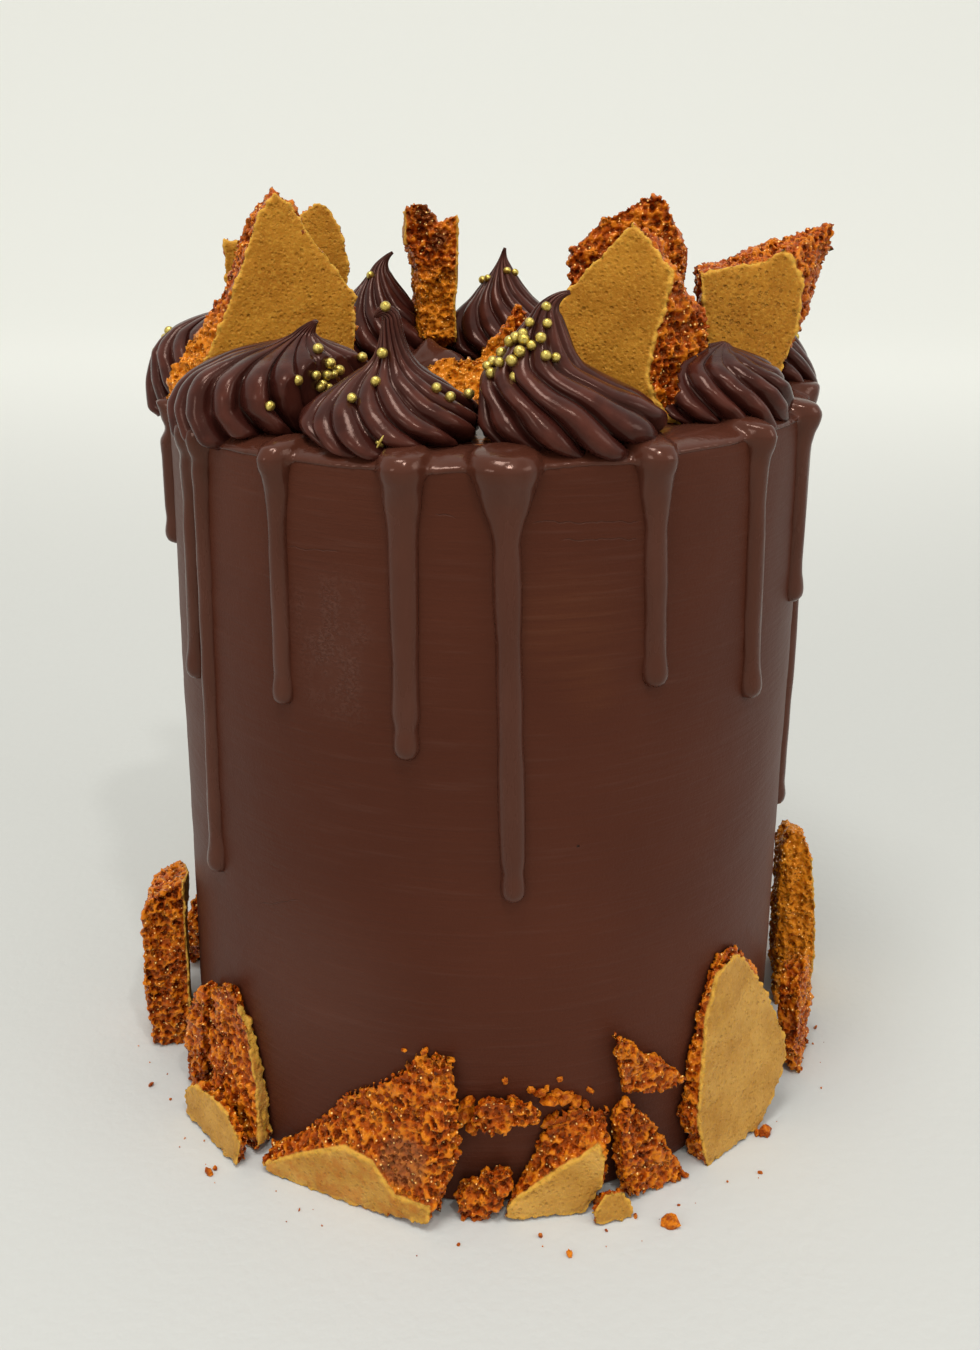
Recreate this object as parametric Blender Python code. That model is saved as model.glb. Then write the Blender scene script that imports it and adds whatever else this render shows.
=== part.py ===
"""A tall chocolate cake coated in ganache, with drips down its wall, nine piped swirls with gold pearls,
and broken shards of honeycomb toffee standing on top and leaning round its foot.

Sizes are in millimetres and turn into metres as each mesh is made. The origin is the middle of the
cake's foot, -Y is the front, and azimuths are degrees from the front towards +X."""

import math
import random

import bmesh
import bpy
from mathutils import Vector

MM = 0.001
GAP = 0.35  # between a piece and its neighbour

# The coated cake
CAKE_RADIUS = 81.0
CAKE_HEIGHT = 181.0
TOP_SLOPE = 0.028  # the top rises this much for each millimetre towards +X
FOOT_ROUND = 1.2
RIM_ROUND = 2.6
WALL_SIDES = 64
SMEAR_PLACE = (-15.5, 31.0)  # a smear of ganache that one shard stands in
SMEAR_RADIUS = 9.5
SMEAR_HEIGHT = 8.6
SMEAR_SIDES = 14

# Drips
DRIP_SIDES = 7
DRIP_START = 10.0  # how far in from the rim a drip begins
STEM_PROUD = 2.6
DRIP_TOP = 2.6  # how thick the drips lie on the top, inside the rim

# Swirls: share of the height, share of the radius
SWIRL_PROFILE = (
    (0.0, 0.86),
    (0.08, 0.99),
    (0.18, 1.0),
    (0.3, 0.88),
    (0.42, 0.68),
    (0.53, 0.48),
    (0.66, 0.31),
    (0.8, 0.17),
    (0.92, 0.08),
)
DOME_PROFILE = (
    (0.0, 0.86),
    (0.1, 0.99),
    (0.3, 1.0),
    (0.5, 0.93),
    (0.65, 0.8),
    (0.78, 0.6),
    (0.86, 0.42),
    (0.93, 0.2),
)
NECK_FROM = 0.18  # share of the height where a swirl starts to lean towards its neck
NECK_REACH = 0.35
TIP_FROM = 0.5  # and where it starts to lean towards its tip
DOME_TIP_FROM = 0.78
RIDGE_DEPTH = 0.1  # share of the radius
FOOT_STEP = 5.0  # keeps the low rings apart, in mm over the whole height, where the ground lifts them
PEARL_RADIUS = 1.25
PEARL_DEPTH = 0.94  # share of the swirl's radius at which a pearl's middle sits
PEARL_SIDES = 5
PEARL_RINGS = 4

# Honeycomb toffee
LONG_EDGE = 9.0  # a longer edge of an outline gets a point in its middle
CRAG = 1.3
THICK_SLAB = 6.0  # a thinner slab has smaller crags
THIN_EDGE = 2.6  # thickness kept where a leaning shard meets the wall


def material(name, colour, roughness, metallic=0.0):
    made = bpy.data.materials.new(name)
    made.use_nodes = True
    shader = made.node_tree.nodes["Principled BSDF"]
    shader.inputs["Base Color"].default_value = (*colour, 1.0)
    shader.inputs["Roughness"].default_value = roughness
    shader.inputs["Metallic"].default_value = metallic
    made.diffuse_color = (*colour, 1.0)
    return made


def make_object(name, surface, finish, smooth=True):
    """Turns a bmesh in millimetres into a named object in metres."""
    bmesh.ops.recalc_face_normals(surface, faces=surface.faces)
    if surface.calc_volume(signed=True) < 0.0:
        bmesh.ops.reverse_faces(surface, faces=surface.faces)
    bmesh.ops.scale(surface, vec=(MM, MM, MM), verts=surface.verts)
    mesh = bpy.data.meshes.new(name)
    surface.to_mesh(mesh)
    surface.free()
    mesh.materials.append(finish)
    if smooth:
        mesh.shade_smooth()
        mesh.set_sharp_from_angle(angle=math.radians(40))
    made = bpy.data.objects.new(name, mesh)
    bpy.context.scene.collection.objects.link(made)
    return made


def add_ring(surface, points):
    return [surface.verts.new(p) for p in points]


def bridge(surface, lower, upper):
    for i in range(len(lower)):
        j = (i + 1) % len(lower)
        surface.faces.new((lower[i], lower[j], upper[j], upper[i]))


def close_with_point(surface, ring, point):
    tip = surface.verts.new(point)
    for i in range(len(ring)):
        surface.faces.new((ring[i], ring[(i + 1) % len(ring)], tip))


def loft(rings, first, last):
    """A closed solid through rings of equal length, with a point at each end."""
    surface = bmesh.new()
    made = [add_ring(surface, ring) for ring in rings]
    for lower, upper in zip(made, made[1:]):
        bridge(surface, lower, upper)
    close_with_point(surface, made[0], first)
    close_with_point(surface, made[-1], last)
    return surface


def fuse(target, pieces):
    """Joins pieces to target with one exact Boolean union, applied at once."""
    group = bpy.data.collections.new(target.name + "_pieces")
    bpy.context.scene.collection.children.link(group)
    for piece in pieces:
        bpy.context.scene.collection.objects.unlink(piece)
        group.objects.link(piece)
    union = target.modifiers.new("union", "BOOLEAN")
    union.operation = "UNION"
    union.operand_type = "COLLECTION"
    union.collection = group
    union.solver = "EXACT"
    bpy.context.view_layer.objects.active = target
    bpy.ops.object.modifier_apply(modifier=union.name)
    for piece in pieces:
        bpy.data.objects.remove(piece)
    bpy.data.collections.remove(group)


def top_height(x):
    return CAKE_HEIGHT + TOP_SLOPE * x


def outward(azimuth):
    turn = math.radians(azimuth)
    return Vector((math.sin(turn), -math.cos(turn), 0.0))


def ease(share):
    share = min(1.0, max(0.0, share))
    return share * share * (3.0 - 2.0 * share)


def ground(x, y):
    """Height of what lies under the toppings: the sloping top, the drips' starts and the smear."""
    rim = DRIP_TOP * ease((math.hypot(x, y) - 66.0) / 5.0)
    reach = math.hypot(x - SMEAR_PLACE[0], y - SMEAR_PLACE[1]) / SMEAR_RADIUS
    dome = SMEAR_HEIGHT * math.sqrt(max(0.0, 1.0 - reach * reach))
    return top_height(x) + max(rim, dome)


# The coated cake and its drips


def cake_body(finish):
    """A straight turned wall with a rounded foot and rim, under a top that slopes a little."""
    profile = [
        (CAKE_RADIUS - FOOT_ROUND, 0.0),
        (CAKE_RADIUS, FOOT_ROUND),
        (CAKE_RADIUS, CAKE_HEIGHT - RIM_ROUND - 2.0),
        (CAKE_RADIUS - RIM_ROUND * 0.12, CAKE_HEIGHT - RIM_ROUND * 0.6),
        (CAKE_RADIUS - RIM_ROUND * 0.45, CAKE_HEIGHT - RIM_ROUND * 0.15),
        (CAKE_RADIUS - RIM_ROUND, CAKE_HEIGHT),
    ]
    rings = []
    for radius, height in profile:
        slope = TOP_SLOPE if height > CAKE_HEIGHT / 2 else 0.0
        ring = []
        for i in range(WALL_SIDES):
            side = outward(360.0 * i / WALL_SIDES)
            ring.append(Vector((side.x * radius, side.y * radius, height + slope * side.x * radius)))
        rings.append(ring)
    surface = loft(rings, Vector((0, 0, 0)), Vector((0, 0, CAKE_HEIGHT)))
    return make_object("cake", surface, finish)


def drip(azimuth, end_azimuth, end, stem, bulb, flare, finish, hump=2.7):
    """A run of ganache: a wide start on the top, a hump over the rim, a stem and a round end.
    stem, bulb and flare are half widths, and hump is how far it stands proud at the rim."""
    top = top_height(outward(azimuth).x * CAKE_RADIUS)
    wall = CAKE_RADIUS
    # distance from the axis, height, half width, half thickness, tilt of the ring from upright
    stations = [
        (wall - 5.0, top + 0.2, flare * 0.9, DRIP_TOP - 0.5, 85),
        (wall - 1.2, top - 0.8, flare, hump, 45),
        (wall + 0.1, top - 4.5, flare * 0.92, hump, 10),
        (wall, top - 9.5, 0.45 * flare + 0.55 * stem, STEM_PROUD, 0),
        (wall, top - 16.0, stem, STEM_PROUD, 0),
        (wall, end + 3.2 * bulb, stem * 0.95, STEM_PROUD, 0),
        (wall, end + 1.1 * bulb, bulb, bulb * 1.1, 0),
        (wall, end + 0.35 * bulb, bulb * 0.78, bulb * 0.85, 0),
    ]
    rings = []
    for distance, height, half_width, half_depth, tilt in stations:
        share = min(1.0, max(0.0, (top - height) / (top - end)))
        side = outward(azimuth + share * (end_azimuth - azimuth))
        along = Vector((-side.y, side.x, 0.0))
        lean = math.radians(tilt)
        proud = side * math.cos(lean) + Vector((0, 0, math.sin(lean)))
        centre = side * distance + Vector((0, 0, height))
        ring = []
        for i in range(DRIP_SIDES):
            turn = math.tau * i / DRIP_SIDES
            ring.append(centre + along * half_width * math.cos(turn) + proud * half_depth * math.sin(turn))
        rings.append(ring)
    start = outward(azimuth) * (wall - DRIP_START) + Vector((0, 0, top - 0.6))
    tip = outward(end_azimuth) * wall + Vector((0, 0, end))
    return make_object("drip", loft(rings, start, tip), finish)


def smear(finish):
    x, y = SMEAR_PLACE
    level = top_height(x)
    rings = []
    for share, rise in ((1.0, -1.0), (0.98, 0.1), (0.85, 0.5), (0.5, 0.85)):
        ring = []
        for i in range(SMEAR_SIDES):
            turn = math.tau * i / SMEAR_SIDES
            side = Vector((math.cos(turn), math.sin(turn), 0.0)) * SMEAR_RADIUS * share
            ring.append(Vector((x, y, level + SMEAR_HEIGHT * rise)) + side)
        rings.append(ring)
    low = Vector((x, y, level - SMEAR_HEIGHT))
    high = Vector((x, y, level + SMEAR_HEIGHT))
    return make_object("smear", loft(rings, low, high), finish)


# azimuth at the rim, azimuth at the end, height of the end, half widths of stem, bulb and flare, hump
DRIPS = (
    (-79.0, -79.0, 143.0, 2.4, 2.9, 3.6, 3.6),
    (-57.0, -59.0, 117.0, 2.8, 3.3, 4.2, 2.7),
    (-52.5, -54.0, 68.0, 2.3, 3.2, 3.4, 2.7),
    (-33.5, -33.5, 122.0, 2.4, 2.9, 3.8, 3.0),
    (-12.5, -12.0, 114.5, 3.1, 3.1, 5.2, 2.9),
    (2.5, 4.7, 81.0, 3.1, 3.0, 7.4, 3.2),
    (25.5, 27.0, 129.0, 2.9, 3.3, 4.9, 3.1),
    (47.0, 49.5, 118.0, 2.8, 3.3, 3.6, 2.7),
    (66.0, 68.0, 134.0, 2.7, 3.3, 4.0, 2.8),
    (84.0, 85.0, 66.0, 2.6, 3.0, 5.0, 5.0),
    (103.0, 104.0, 138.0, 2.7, 3.2, 4.4, 3.0),
    (122.0, 121.0, 92.0, 2.9, 3.3, 5.0, 3.0),
    (141.0, 142.0, 126.0, 2.6, 3.1, 4.2, 3.0),
    (163.0, 162.0, 108.0, 3.0, 3.2, 6.0, 3.1),
    (184.0, 185.0, 140.0, 2.7, 3.2, 4.6, 2.9),
    (203.0, 204.0, 84.0, 2.9, 3.2, 5.2, 3.1),
    (223.0, 222.0, 121.0, 2.7, 3.3, 4.4, 3.0),
    (244.0, 245.0, 132.0, 2.6, 3.0, 4.0, 2.9),
    (262.0, 263.0, 103.0, 2.8, 3.2, 4.6, 3.0),
)

# Honeycomb shards that stand on the top. Outlines are (across, up) from the place, in the plane of the
# front face, which looks along the azimuth "facing" and tips back by "lean".
TOP_SHARDS = {
    "shard_tall_left": dict(
        place=(-54.0, -22.0, 181.0),
        facing=18,
        lean=8,
        depth=9.0,
        front=((-18, 0), (-14.5, 11), (-9.6, 20.5), (-5.7, 30), (-2.6, 38), (0, 45), (4.5, 50.5),
               (8.3, 48),
               (11.2, 44), (13, 40), (17.3, 34.6), (20.8, 29.7), (23.6, 25), (22.9, 21.4), (22.9, 10),
               (21, 0)),
        back=((-23.8, 0), (-21.7, 9), (-17.7, 15), (-12.6, 21), (-8.2, 27), (-5.2, 35), (-3, 42),
              (5.4, 52.7),
              (9.5, 45), (11, 41), (15, 34), (19, 28.5), (22, 24), (21.5, 18), (21, 9), (19, 0)),
    ),
    "shard_behind_left": dict(
        place=(-53.0, 20.0, 181.0),
        facing=10,
        lean=5,
        depth=8.0,
        front=((-6, 0), (-10, 12), (-18.3, 25), (-18, 36.5), (-8, 34), (4, 43.8), (7, 46), (10, 45.2),
               (13.4, 39.4), (15.3, 32.4), (15.7, 27.8), (13, 14), (10, 0)),
    ),
    "shard_edge_on": dict(
        place=(-16.5, 36.0, 181.0),
        facing=0,
        lean=2,
        depth=22.0,
        front=((-2.8, 7.6), (-3.4, 18), (-4.4, 31), (-7.4, 34), (-7.8, 43.5), (-5, 45.2), (-1, 45),
               (2.2, 40),
               (7.4, 42.4), (7.6, 30), (7.2, 18), (7, 7.6)),
        back=((-6.4, 3), (-6.4, 14), (-6.2, 29.4), (-7.8, 32.6), (-7.8, 38), (-4.8, 39.4), (-1, 39),
              (1.6, 35.6),
              (4.6, 37), (5, 26), (4.8, 14), (4.6, 3)),
        craggy_front=True,
    ),
    "shard_lying": dict(
        place=(-3.0, -18.0, 181.0),
        facing=0,
        lean=40,
        depth=9.0,
        front=((-9, 0.6), (-12.5, 10), (-8, 13), (0, 12.2), (8.5, 11.8), (11, 8), (8, 0.6)),
        craggy_front=True,
    ),
    "shard_pointed": dict(
        place=(5.0, 2.0, 181.0),
        facing=10,
        lean=10,
        depth=7.0,
        front=((-9.8, 0), (-9.8, 5.3), (-3.9, 12.4), (-0.4, 14.9), (3.2, 21.8), (6.3, 17.9), (10.3, 13.5),
               (9, 7), (8, 0)),
        craggy_front=True,
    ),
    "shard_tall_right": dict(
        place=(30.0, -44.0, 181.0),
        facing=-22,
        lean=10,
        depth=11.0,
        front=((-16, 0), (-18.2, 12), (-18.2, 25), (-14.5, 31), (-8, 38), (-1.1, 46), (3.4, 42),
               (9, 35.6),
               (8.7, 29), (6.5, 20), (5.6, 12), (7.7, 6.6), (14.5, 0)),
        back=((-15, 0), (-16.5, 12), (-16.5, 24), (-12, 31), (-6, 37), (-1.5, 43), (2.2, 42), (11.3, 32),
              (14.5, 28), (16.4, 25.6), (17.4, 12), (16.5, 6), (14.9, 0)),
    ),
    "shard_behind_right": dict(
        place=(33.0, -24.0, 181.0),
        facing=-12,
        lean=8,
        depth=10.0,
        front=((-9, 0), (-13, 15), (-15.3, 30), (-15, 37.5), (-8.1, 44.3), (2.3, 50.3), (6.5, 50.6),
               (12.6, 38),
               (12.5, 26), (9, 13), (5, 0)),
        craggy_front=True,
    ),
    "shard_far_right": dict(
        place=(58.0, -22.0, 181.0),
        facing=14,
        lean=8,
        depth=9.0,
        front=((-4, 0), (-5, 16), (-6.6, 32.6), (2.4, 34.3), (9.5, 35), (15, 38.2), (18.2, 34.8),
               (20.9, 29.3),
               (18.9, 17.2), (14, 6), (10, 0)),
        back=((-3, 0), (-3.5, 16), (-4.5, 34), (3, 36.5), (12, 39.5), (25, 43), (33.3, 45.1),
              (33.7, 40.6),
              (27, 27), (15, 8), (9, 0)),
    ),
}

# Shards round the foot, whose front face's foot line is "distance" from the axis
FOOT_SHARDS = {
    "foot_block_left": dict(
        place=(-86.5, -26.0, 0.0),
        facing=12,
        lean=0,
        depth=24.0,
        front=((-4.5, 0), (-5.4, 12.4), (-5.3, 42), (-3, 46.5), (3.6, 50.5), (7.5, 51), (6.5, 27),
               (6, 0)),
        back=((-4, 0), (-5, 12), (-4.8, 34), (-2.5, 40), (3.4, 43), (6.5, 43), (6, 24), (5.5, 0)),
        craggy_front=True,
    ),
    "foot_slim_left": dict(
        facing=-59,
        distance=88.0,
        lean=3,
        depth=6.0,
        front=((-7, 0), (-7.5, 6), (-6.6, 21), (-0.9, 30.9), (4.0, 34.9), (4.6, 20.5), (2.5, 7), (2, 0)),
        craggy_front=True,
    ),
    "foot_porous_left": dict(
        facing=-44,
        distance=86.5,
        lean=4,
        depth=5.0,
        front=((-13, 0), (-14.2, 11), (-15.2, 18.6), (-15, 35.5), (-6.3, 42.4), (1, 31.7), (5, 17.4),
               (7, 3),
               (5, 0)),
        craggy_front=True,
    ),
    "foot_skin_left": dict(
        facing=-48,
        distance=92.2,
        lean=8,
        depth=3.2,
        front=((-12, 1), (-13.5, 6.8), (-9.5, 10.4), (-1, 12.2), (6.5, 11.4), (13.5, 7.5),
               (12.5, 0.6), (0, 0)),
    ),
    "foot_front_left": dict(
        facing=-24,
        distance=87.6,
        lean=5,
        depth=6.0,
        front=((-20.5, 2.2), (-9.3, 8.4), (2.9, 14.6), (10.2, 13.2), (16.6, 6.4), (25.7, 6.6),
               (25.4, 1.8),
               (15.5, 0.4), (-0.6, 0), (-17.5, 0)),
        back=((-20.5, 5), (-11.3, 11), (2, 27.7), (14.2, 36.8), (19.4, 44), (27.8, 43.4), (31, 20),
              (26, 3), (0, 0), (-19, 0)),
    ),
    "foot_curl": dict(
        facing=-1,
        distance=86.6,
        lean=5,
        depth=3.6,
        front=((-3, 0), (-4.4, 5.6), (-1.6, 9.6), (3, 12), (8.2, 12.8), (9.4, 9.6), (6.4, 4.2), (2.4, 0)),
        craggy_front=True,
    ),
    "foot_front": dict(
        facing=8,
        distance=87.2,
        lean=7,
        depth=4.2,
        front=((-6.4, 1), (-6.4, 4), (4.6, 11.2), (15.9, 17.6), (17.6, 12.4), (16.6, 6), (12.5, 0)),
        back=((-4.5, 1), (-1.5, 10.4), (4, 24.8), (10, 26.6), (18.5, 24), (18.5, 8.4), (14, 0)),
    ),
    "foot_crumb_wall": dict(
        facing=0,
        distance=84.8,
        lean=0,
        depth=3.2,
        front=((-1.8, 23.4), (-2.2, 28.6), (1, 32), (5, 30.6), (9, 31), (13, 28.6), (13.2, 25.2),
               (7.5, 25), (3, 21.6)),
        craggy_front=True,
    ),
    "foot_porous_front": dict(
        facing=30,
        distance=88.0,
        lean=6,
        depth=5.0,
        front=((-10, 1.5), (-11.8, 12), (-11.6, 21.8), (-8.9, 26.8), (-3.9, 20.2), (1.1, 12.6),
               (4, 7), (8, 0),
               (0, 0)),
        craggy_front=True,
    ),
    "foot_flakes": dict(
        facing=20,
        distance=92.4,
        lean=14,
        depth=2.4,
        front=((-5, 0.5), (-5.6, 4), (-2, 7.6), (2.6, 7), (5, 2), (4.4, 0)),
    ),
    "foot_stuck_high": dict(
        facing=28,
        distance=84.6,
        lean=0,
        depth=3.2,
        front=((-9.9, 45), (-5.4, 41.8), (-1.6, 36), (4.2, 33), (11.1, 26), (6.1, 24.6), (-1.2, 26.6),
               (-6.4, 27.4),
               (-8.4, 35.5)),
        craggy_front=True,
    ),
    "foot_skin_right": dict(
        facing=40,
        distance=89.0,
        lean=7,
        depth=6.0,
        front=((-2, 0), (-4.4, 14.8), (-1.8, 27.2), (0.4, 39.4), (3.4, 49.8), (8, 51.5), (12, 51.5),
               (15.7, 48.6),
               (23.1, 37.2), (29.6, 22.8), (30.3, 16.7), (26.4, 8.5), (18.9, 0.8), (8, 0)),
        back=((-1, 0), (-5.8, 15), (-4.2, 25.5), (-1.2, 38), (1.6, 49.9), (5.5, 54), (10.8, 54), (17, 49),
              (25.8, 36), (28, 22), (28, 16), (24, 8), (17, 0), (8, 0)),
    ),
    "foot_porous_right": dict(
        facing=66,
        distance=92.6,
        lean=3,
        depth=5.5,
        front=((3, 0), (0.8, 9), (0.4, 18), (1, 26), (7, 31), (14, 30), (17, 24), (20.5, 15), (18, 5),
               (14, 0)),
        craggy_front=True,
    ),
    "foot_block_right": dict(
        place=(90.5, -6.0, 0.0),
        facing=-8,
        lean=0,
        depth=23.0,
        front=((-5.4, 0), (-6, 16), (-6.6, 50), (-4.7, 56.4), (-0.9, 56), (2.6, 48), (5.4, 18), (4.6, 0)),
        back=((-5, 0), (-5.5, 14), (-6, 41), (-4.4, 47), (-0.9, 47), (2.2, 41), (5, 16), (4.3, 0)),
        craggy_front=True,
    ),
}

# Shards at the back, which the front view doesn't reach: azimuth, width, height, seed, broken face out
BACK_SHARDS = (
    (119.0, 30.0, 33.0, 3, True),
    (143.0, 26.0, 47.0, 8, False),
    (166.0, 34.0, 29.0, 5, True),
    (190.0, 24.0, 40.0, 11, False),
    (212.0, 31.0, 26.0, 14, True),
    (236.0, 27.0, 44.0, 17, False),
    (258.0, 22.0, 27.0, 21, True),
)
BACK_DEPTH = 6.5
BACK_DISTANCE = 90.5


def shard_frame(facing, lean):
    """Unit vectors of a shard's front face: out of it, across it and up it."""
    side = outward(facing)
    tip = math.radians(lean)
    out = side * math.cos(tip) + Vector((0, 0, math.sin(tip)))
    across = Vector((-side.y, side.x, 0.0))
    return out, across, across.cross(out) * -1.0


def shard_place(shard):
    if "place" in shard:
        return Vector(shard["place"])
    return outward(shard["facing"]) * shard["distance"]


def with_middles(front, back):
    """Adds a middle point to both outlines wherever the front one has a long edge."""
    full_front, full_back = [], []
    for i in range(len(front)):
        j = (i + 1) % len(front)
        full_front.append(Vector(front[i]))
        full_back.append(Vector(back[i]))
        longest = max((Vector(front[j]) - Vector(front[i])).length, (Vector(back[j]) - Vector(back[i])).length)
        if longest > LONG_EDGE:
            full_front.append((Vector(front[i]) + Vector(front[j])) / 2)
            full_back.append((Vector(back[i]) + Vector(back[j])) / 2)
    return full_front, full_back


def middle_of(outline):
    return sum(outline, Vector((0.0, 0.0))) / len(outline)


def shard(name, finish, lift, facing, lean, depth, front, place, back=None, craggy_front=False):
    """A broken slab of honeycomb. Its front is a flat skin or a craggy break, its rim is craggy, and lift
    moves a point that would cross what the slab stands on or leans against."""
    draw = random.Random(name)
    crag = CRAG * min(1.0, depth / THICK_SLAB)
    out, across, up = shard_frame(facing, lean)
    if back is None:
        centre = middle_of([Vector(p) for p in front])
        back = [centre + (Vector(p) - centre) * 0.93 for p in front]
    front, back = with_middles(front, back)
    count = len(front)
    rings = []

    def ring_at(shape, share, jitter, jitter_out):
        points = []
        for p in shape:
            x = p.x + draw.uniform(-jitter, jitter)
            y = p.y + draw.uniform(-jitter, jitter)
            z = depth * share + draw.uniform(-jitter_out, jitter_out)
            points.append(lift(place + across * x + up * y - out * z, share))
        return points

    centre_front, centre_back = middle_of(front), middle_of(back)
    half = [centre_front + (p - centre_front) * 0.5 for p in front]
    half_back = [centre_back + (p - centre_back) * 0.5 for p in back]
    if craggy_front:
        rings.append(ring_at(half, 0.0, crag * 0.5, crag))
    edge = crag * 0.4 if craggy_front else 0.0
    rings.append(ring_at(front, 0.0, edge * 0.6, edge))
    middle = [front[i] * 0.5 + back[i] * 0.5 for i in range(count)]
    rings.append(ring_at(middle, 0.5, crag, crag * 0.4))
    rings.append(ring_at(back, 1.0, crag * 0.4, 0.0))
    rings.append(ring_at(half_back, 1.0, crag * 0.5, crag * 0.6))
    first = lift(place + across * centre_front.x + up * centre_front.y, 0.0)
    last = lift(place + across * centre_back.x + up * centre_back.y - out * depth, 1.0)
    return make_object(name, loft(rings, first, last), finish, smooth=False)


def stand_on_top(point, share):
    """Keeps a point of a shard above what lies on the top of the cake."""
    return Vector((point.x, point.y, max(point.z, ground(point.x, point.y) + GAP)))


def lean_on_wall(point, share):
    """Keeps a point of a shard outside the wall and above the foot, and keeps the shard some thickness."""
    flat = Vector((point.x, point.y, 0.0))
    nearest = CAKE_RADIUS + GAP + 0.25 + (1.0 - share) * THIN_EDGE
    if flat.length < nearest:
        flat = flat.normalized() * nearest
    return Vector((flat.x, flat.y, max(point.z, 0.0)))


def rough_outline(width, height, seed):
    """A broken piece's outline: flat at its foot, uneven above."""
    draw = random.Random(seed)
    points = [(-width * 0.36, 0.0)]
    steps = 7
    for i in range(steps + 1):
        turn = math.pi * (1.0 - i / steps)
        reach = draw.uniform(0.82, 1.12)
        points.append((math.cos(turn) * width / 2 * reach, height * (0.3 + 0.65 * math.sin(turn) * reach)))
    points.append((width * 0.33, 0.0))
    return points


# Piped swirls: place of the foot's middle, radius, height, width of the neck, how far the neck and the tip
# stand from the middle, number of ridges, turn of the ridges in degrees, and the pearls as (azimuth, share
# of the height). Ridges run anticlockwise, seen from above, on their way down.
SWIRLS = {
    "swirl_front_left": dict(
        place=(-51.0, -35.0), radius=21.0, height=20.0, neck=1.0, neck_shift=(1.0, 0.0), tip_shift=(11.0, -1.5),
        ridges=14, turn=70, dome=True,
        pearls=((-10, 0.84), (22, 0.66), (50, 0.58), (-8, 0.55), (14, 0.56), (-34, 0.5), (6, 0.45),
                (24, 0.44),
                (-30, 0.3)),
    ),
    "swirl_front": dict(
        place=(-21.5, -56.0), radius=19.2, height=30.0, neck=0.72, neck_shift=(2.5, 0.0), tip_shift=(0.2, 0.0),
        ridges=12, turn=110,
        pearls=((-70, 0.52), (-62, 0.66), (-28, 0.47), (-48, 0.33), (35, 0.42), (62, 0.52), (80, 0.34)),
    ),
    "swirl_front_right": dict(
        place=(17.5, -58.0), radius=19.2, height=31.5, neck=1.05, neck_shift=(-7.0, 0.0), tip_shift=(-2.0, 0.0),
        ridges=12, turn=95,
        pearls=((-20, 0.82), (-72, 0.8), (-32, 0.72), (-75, 0.72), (-60, 0.67), (-88, 0.62), (-64, 0.58),
                (-85, 0.5), (-48, 0.5), (-66, 0.44), (-82, 0.4), (-40, 0.36), (-6, 0.56), (20, 0.56)),
    ),
    "swirl_right_front": dict(
        place=(52.5, -34.5), radius=19.2, height=15.6, neck=0.95, neck_shift=(0.0, 0.0), tip_shift=(2.0, 1.0),
        ridges=12, turn=70, dome=True,
        pearls=((30, 0.55), (80, 0.42)),
    ),
    "swirl_right": dict(
        place=(67.0, 4.0), radius=18.6, height=27.0, neck=0.85, neck_shift=(0.0, 1.0), tip_shift=(1.0, 2.0),
        ridges=12, turn=105,
        pearls=((110, 0.55), (150, 0.45)),
    ),
    "swirl_back_right": dict(
        place=(43.0, 41.0), radius=19.0, height=28.0, neck=0.85, neck_shift=(-1.0, 0.0), tip_shift=(1.0, 2.0),
        ridges=12, turn=105,
        pearls=((120, 0.5), (160, 0.6), (200, 0.42)),
    ),
    "swirl_back": dict(
        place=(4.0, 58.0), radius=18.8, height=29.8, neck=0.8, neck_shift=(0.0, 0.0), tip_shift=(0.0, 0.0),
        ridges=12, turn=105,
        pearls=((60, 0.62), (85, 0.5), (100, 0.56), (190, 0.5)),
    ),
    "swirl_back_left": dict(
        place=(-33.5, 50.0), radius=19.0, height=29.8, neck=0.85, neck_shift=(1.0, 0.0), tip_shift=(2.0, 2.0),
        ridges=12, turn=105,
        pearls=((-20, 0.5), (-60, 0.45), (-45, 0.56), (170, 0.5)),
    ),
    "swirl_left": dict(
        place=(-70.0, 0.0), radius=17.6, height=22.2, neck=0.95, neck_shift=(0.0, 0.0), tip_shift=(2.0, 1.0),
        ridges=12, turn=70, dome=True,
        pearls=((-70, 0.82), (-100, 0.7), (-130, 0.5), (-75, 0.45)),
    ),
}

# Which shard's front or back a swirl is pressed against
PRESSED = {
    "swirl_front_left": (("shard_tall_left", "front"),),
    "swirl_left": (("shard_tall_left", "back"), ("shard_behind_left", "front")),
    "swirl_front_right": (("shard_tall_right", "front"),),
    "swirl_right_front": (("shard_tall_right", "back"), ("shard_far_right", "front")),
    "swirl_right": (("shard_far_right", "back"),),
}
EDGE_ON_RIGHT = ((-8.0, 36.0), (-10.0, 60.0))
EDGE_ON_LEFT = ((-21.6, 36.0), (-25.4, 60.0))


def profile_of(swirl):
    return DOME_PROFILE if swirl.get("dome") else SWIRL_PROFILE


def swirl_ring(swirl, share):
    """Middle and radius of a swirl at a share of its height."""
    profile = profile_of(swirl)
    for (low, wide), (high, narrow) in zip(profile, profile[1:]):
        if share <= high:
            break
    radius = wide + (narrow - wide) * min(1.0, (share - low) / (high - low))
    bend = ease((share - NECK_FROM) / NECK_REACH)
    radius *= swirl["radius"] * (1.0 + (swirl["neck"] - 1.0) * bend)
    tip_from = DOME_TIP_FROM if swirl.get("dome") else TIP_FROM
    rise = max(0.0, (share - tip_from) / (1.0 - tip_from))
    x = swirl["place"][0] + swirl["neck_shift"][0] * bend * (1 - rise) + swirl["tip_shift"][0] * rise
    y = swirl["place"][1] + swirl["neck_shift"][1] * bend * (1 - rise) + swirl["tip_shift"][1] * rise
    return Vector((x, y, top_height(swirl["place"][0]) + GAP + share * swirl["height"])), radius


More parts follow.
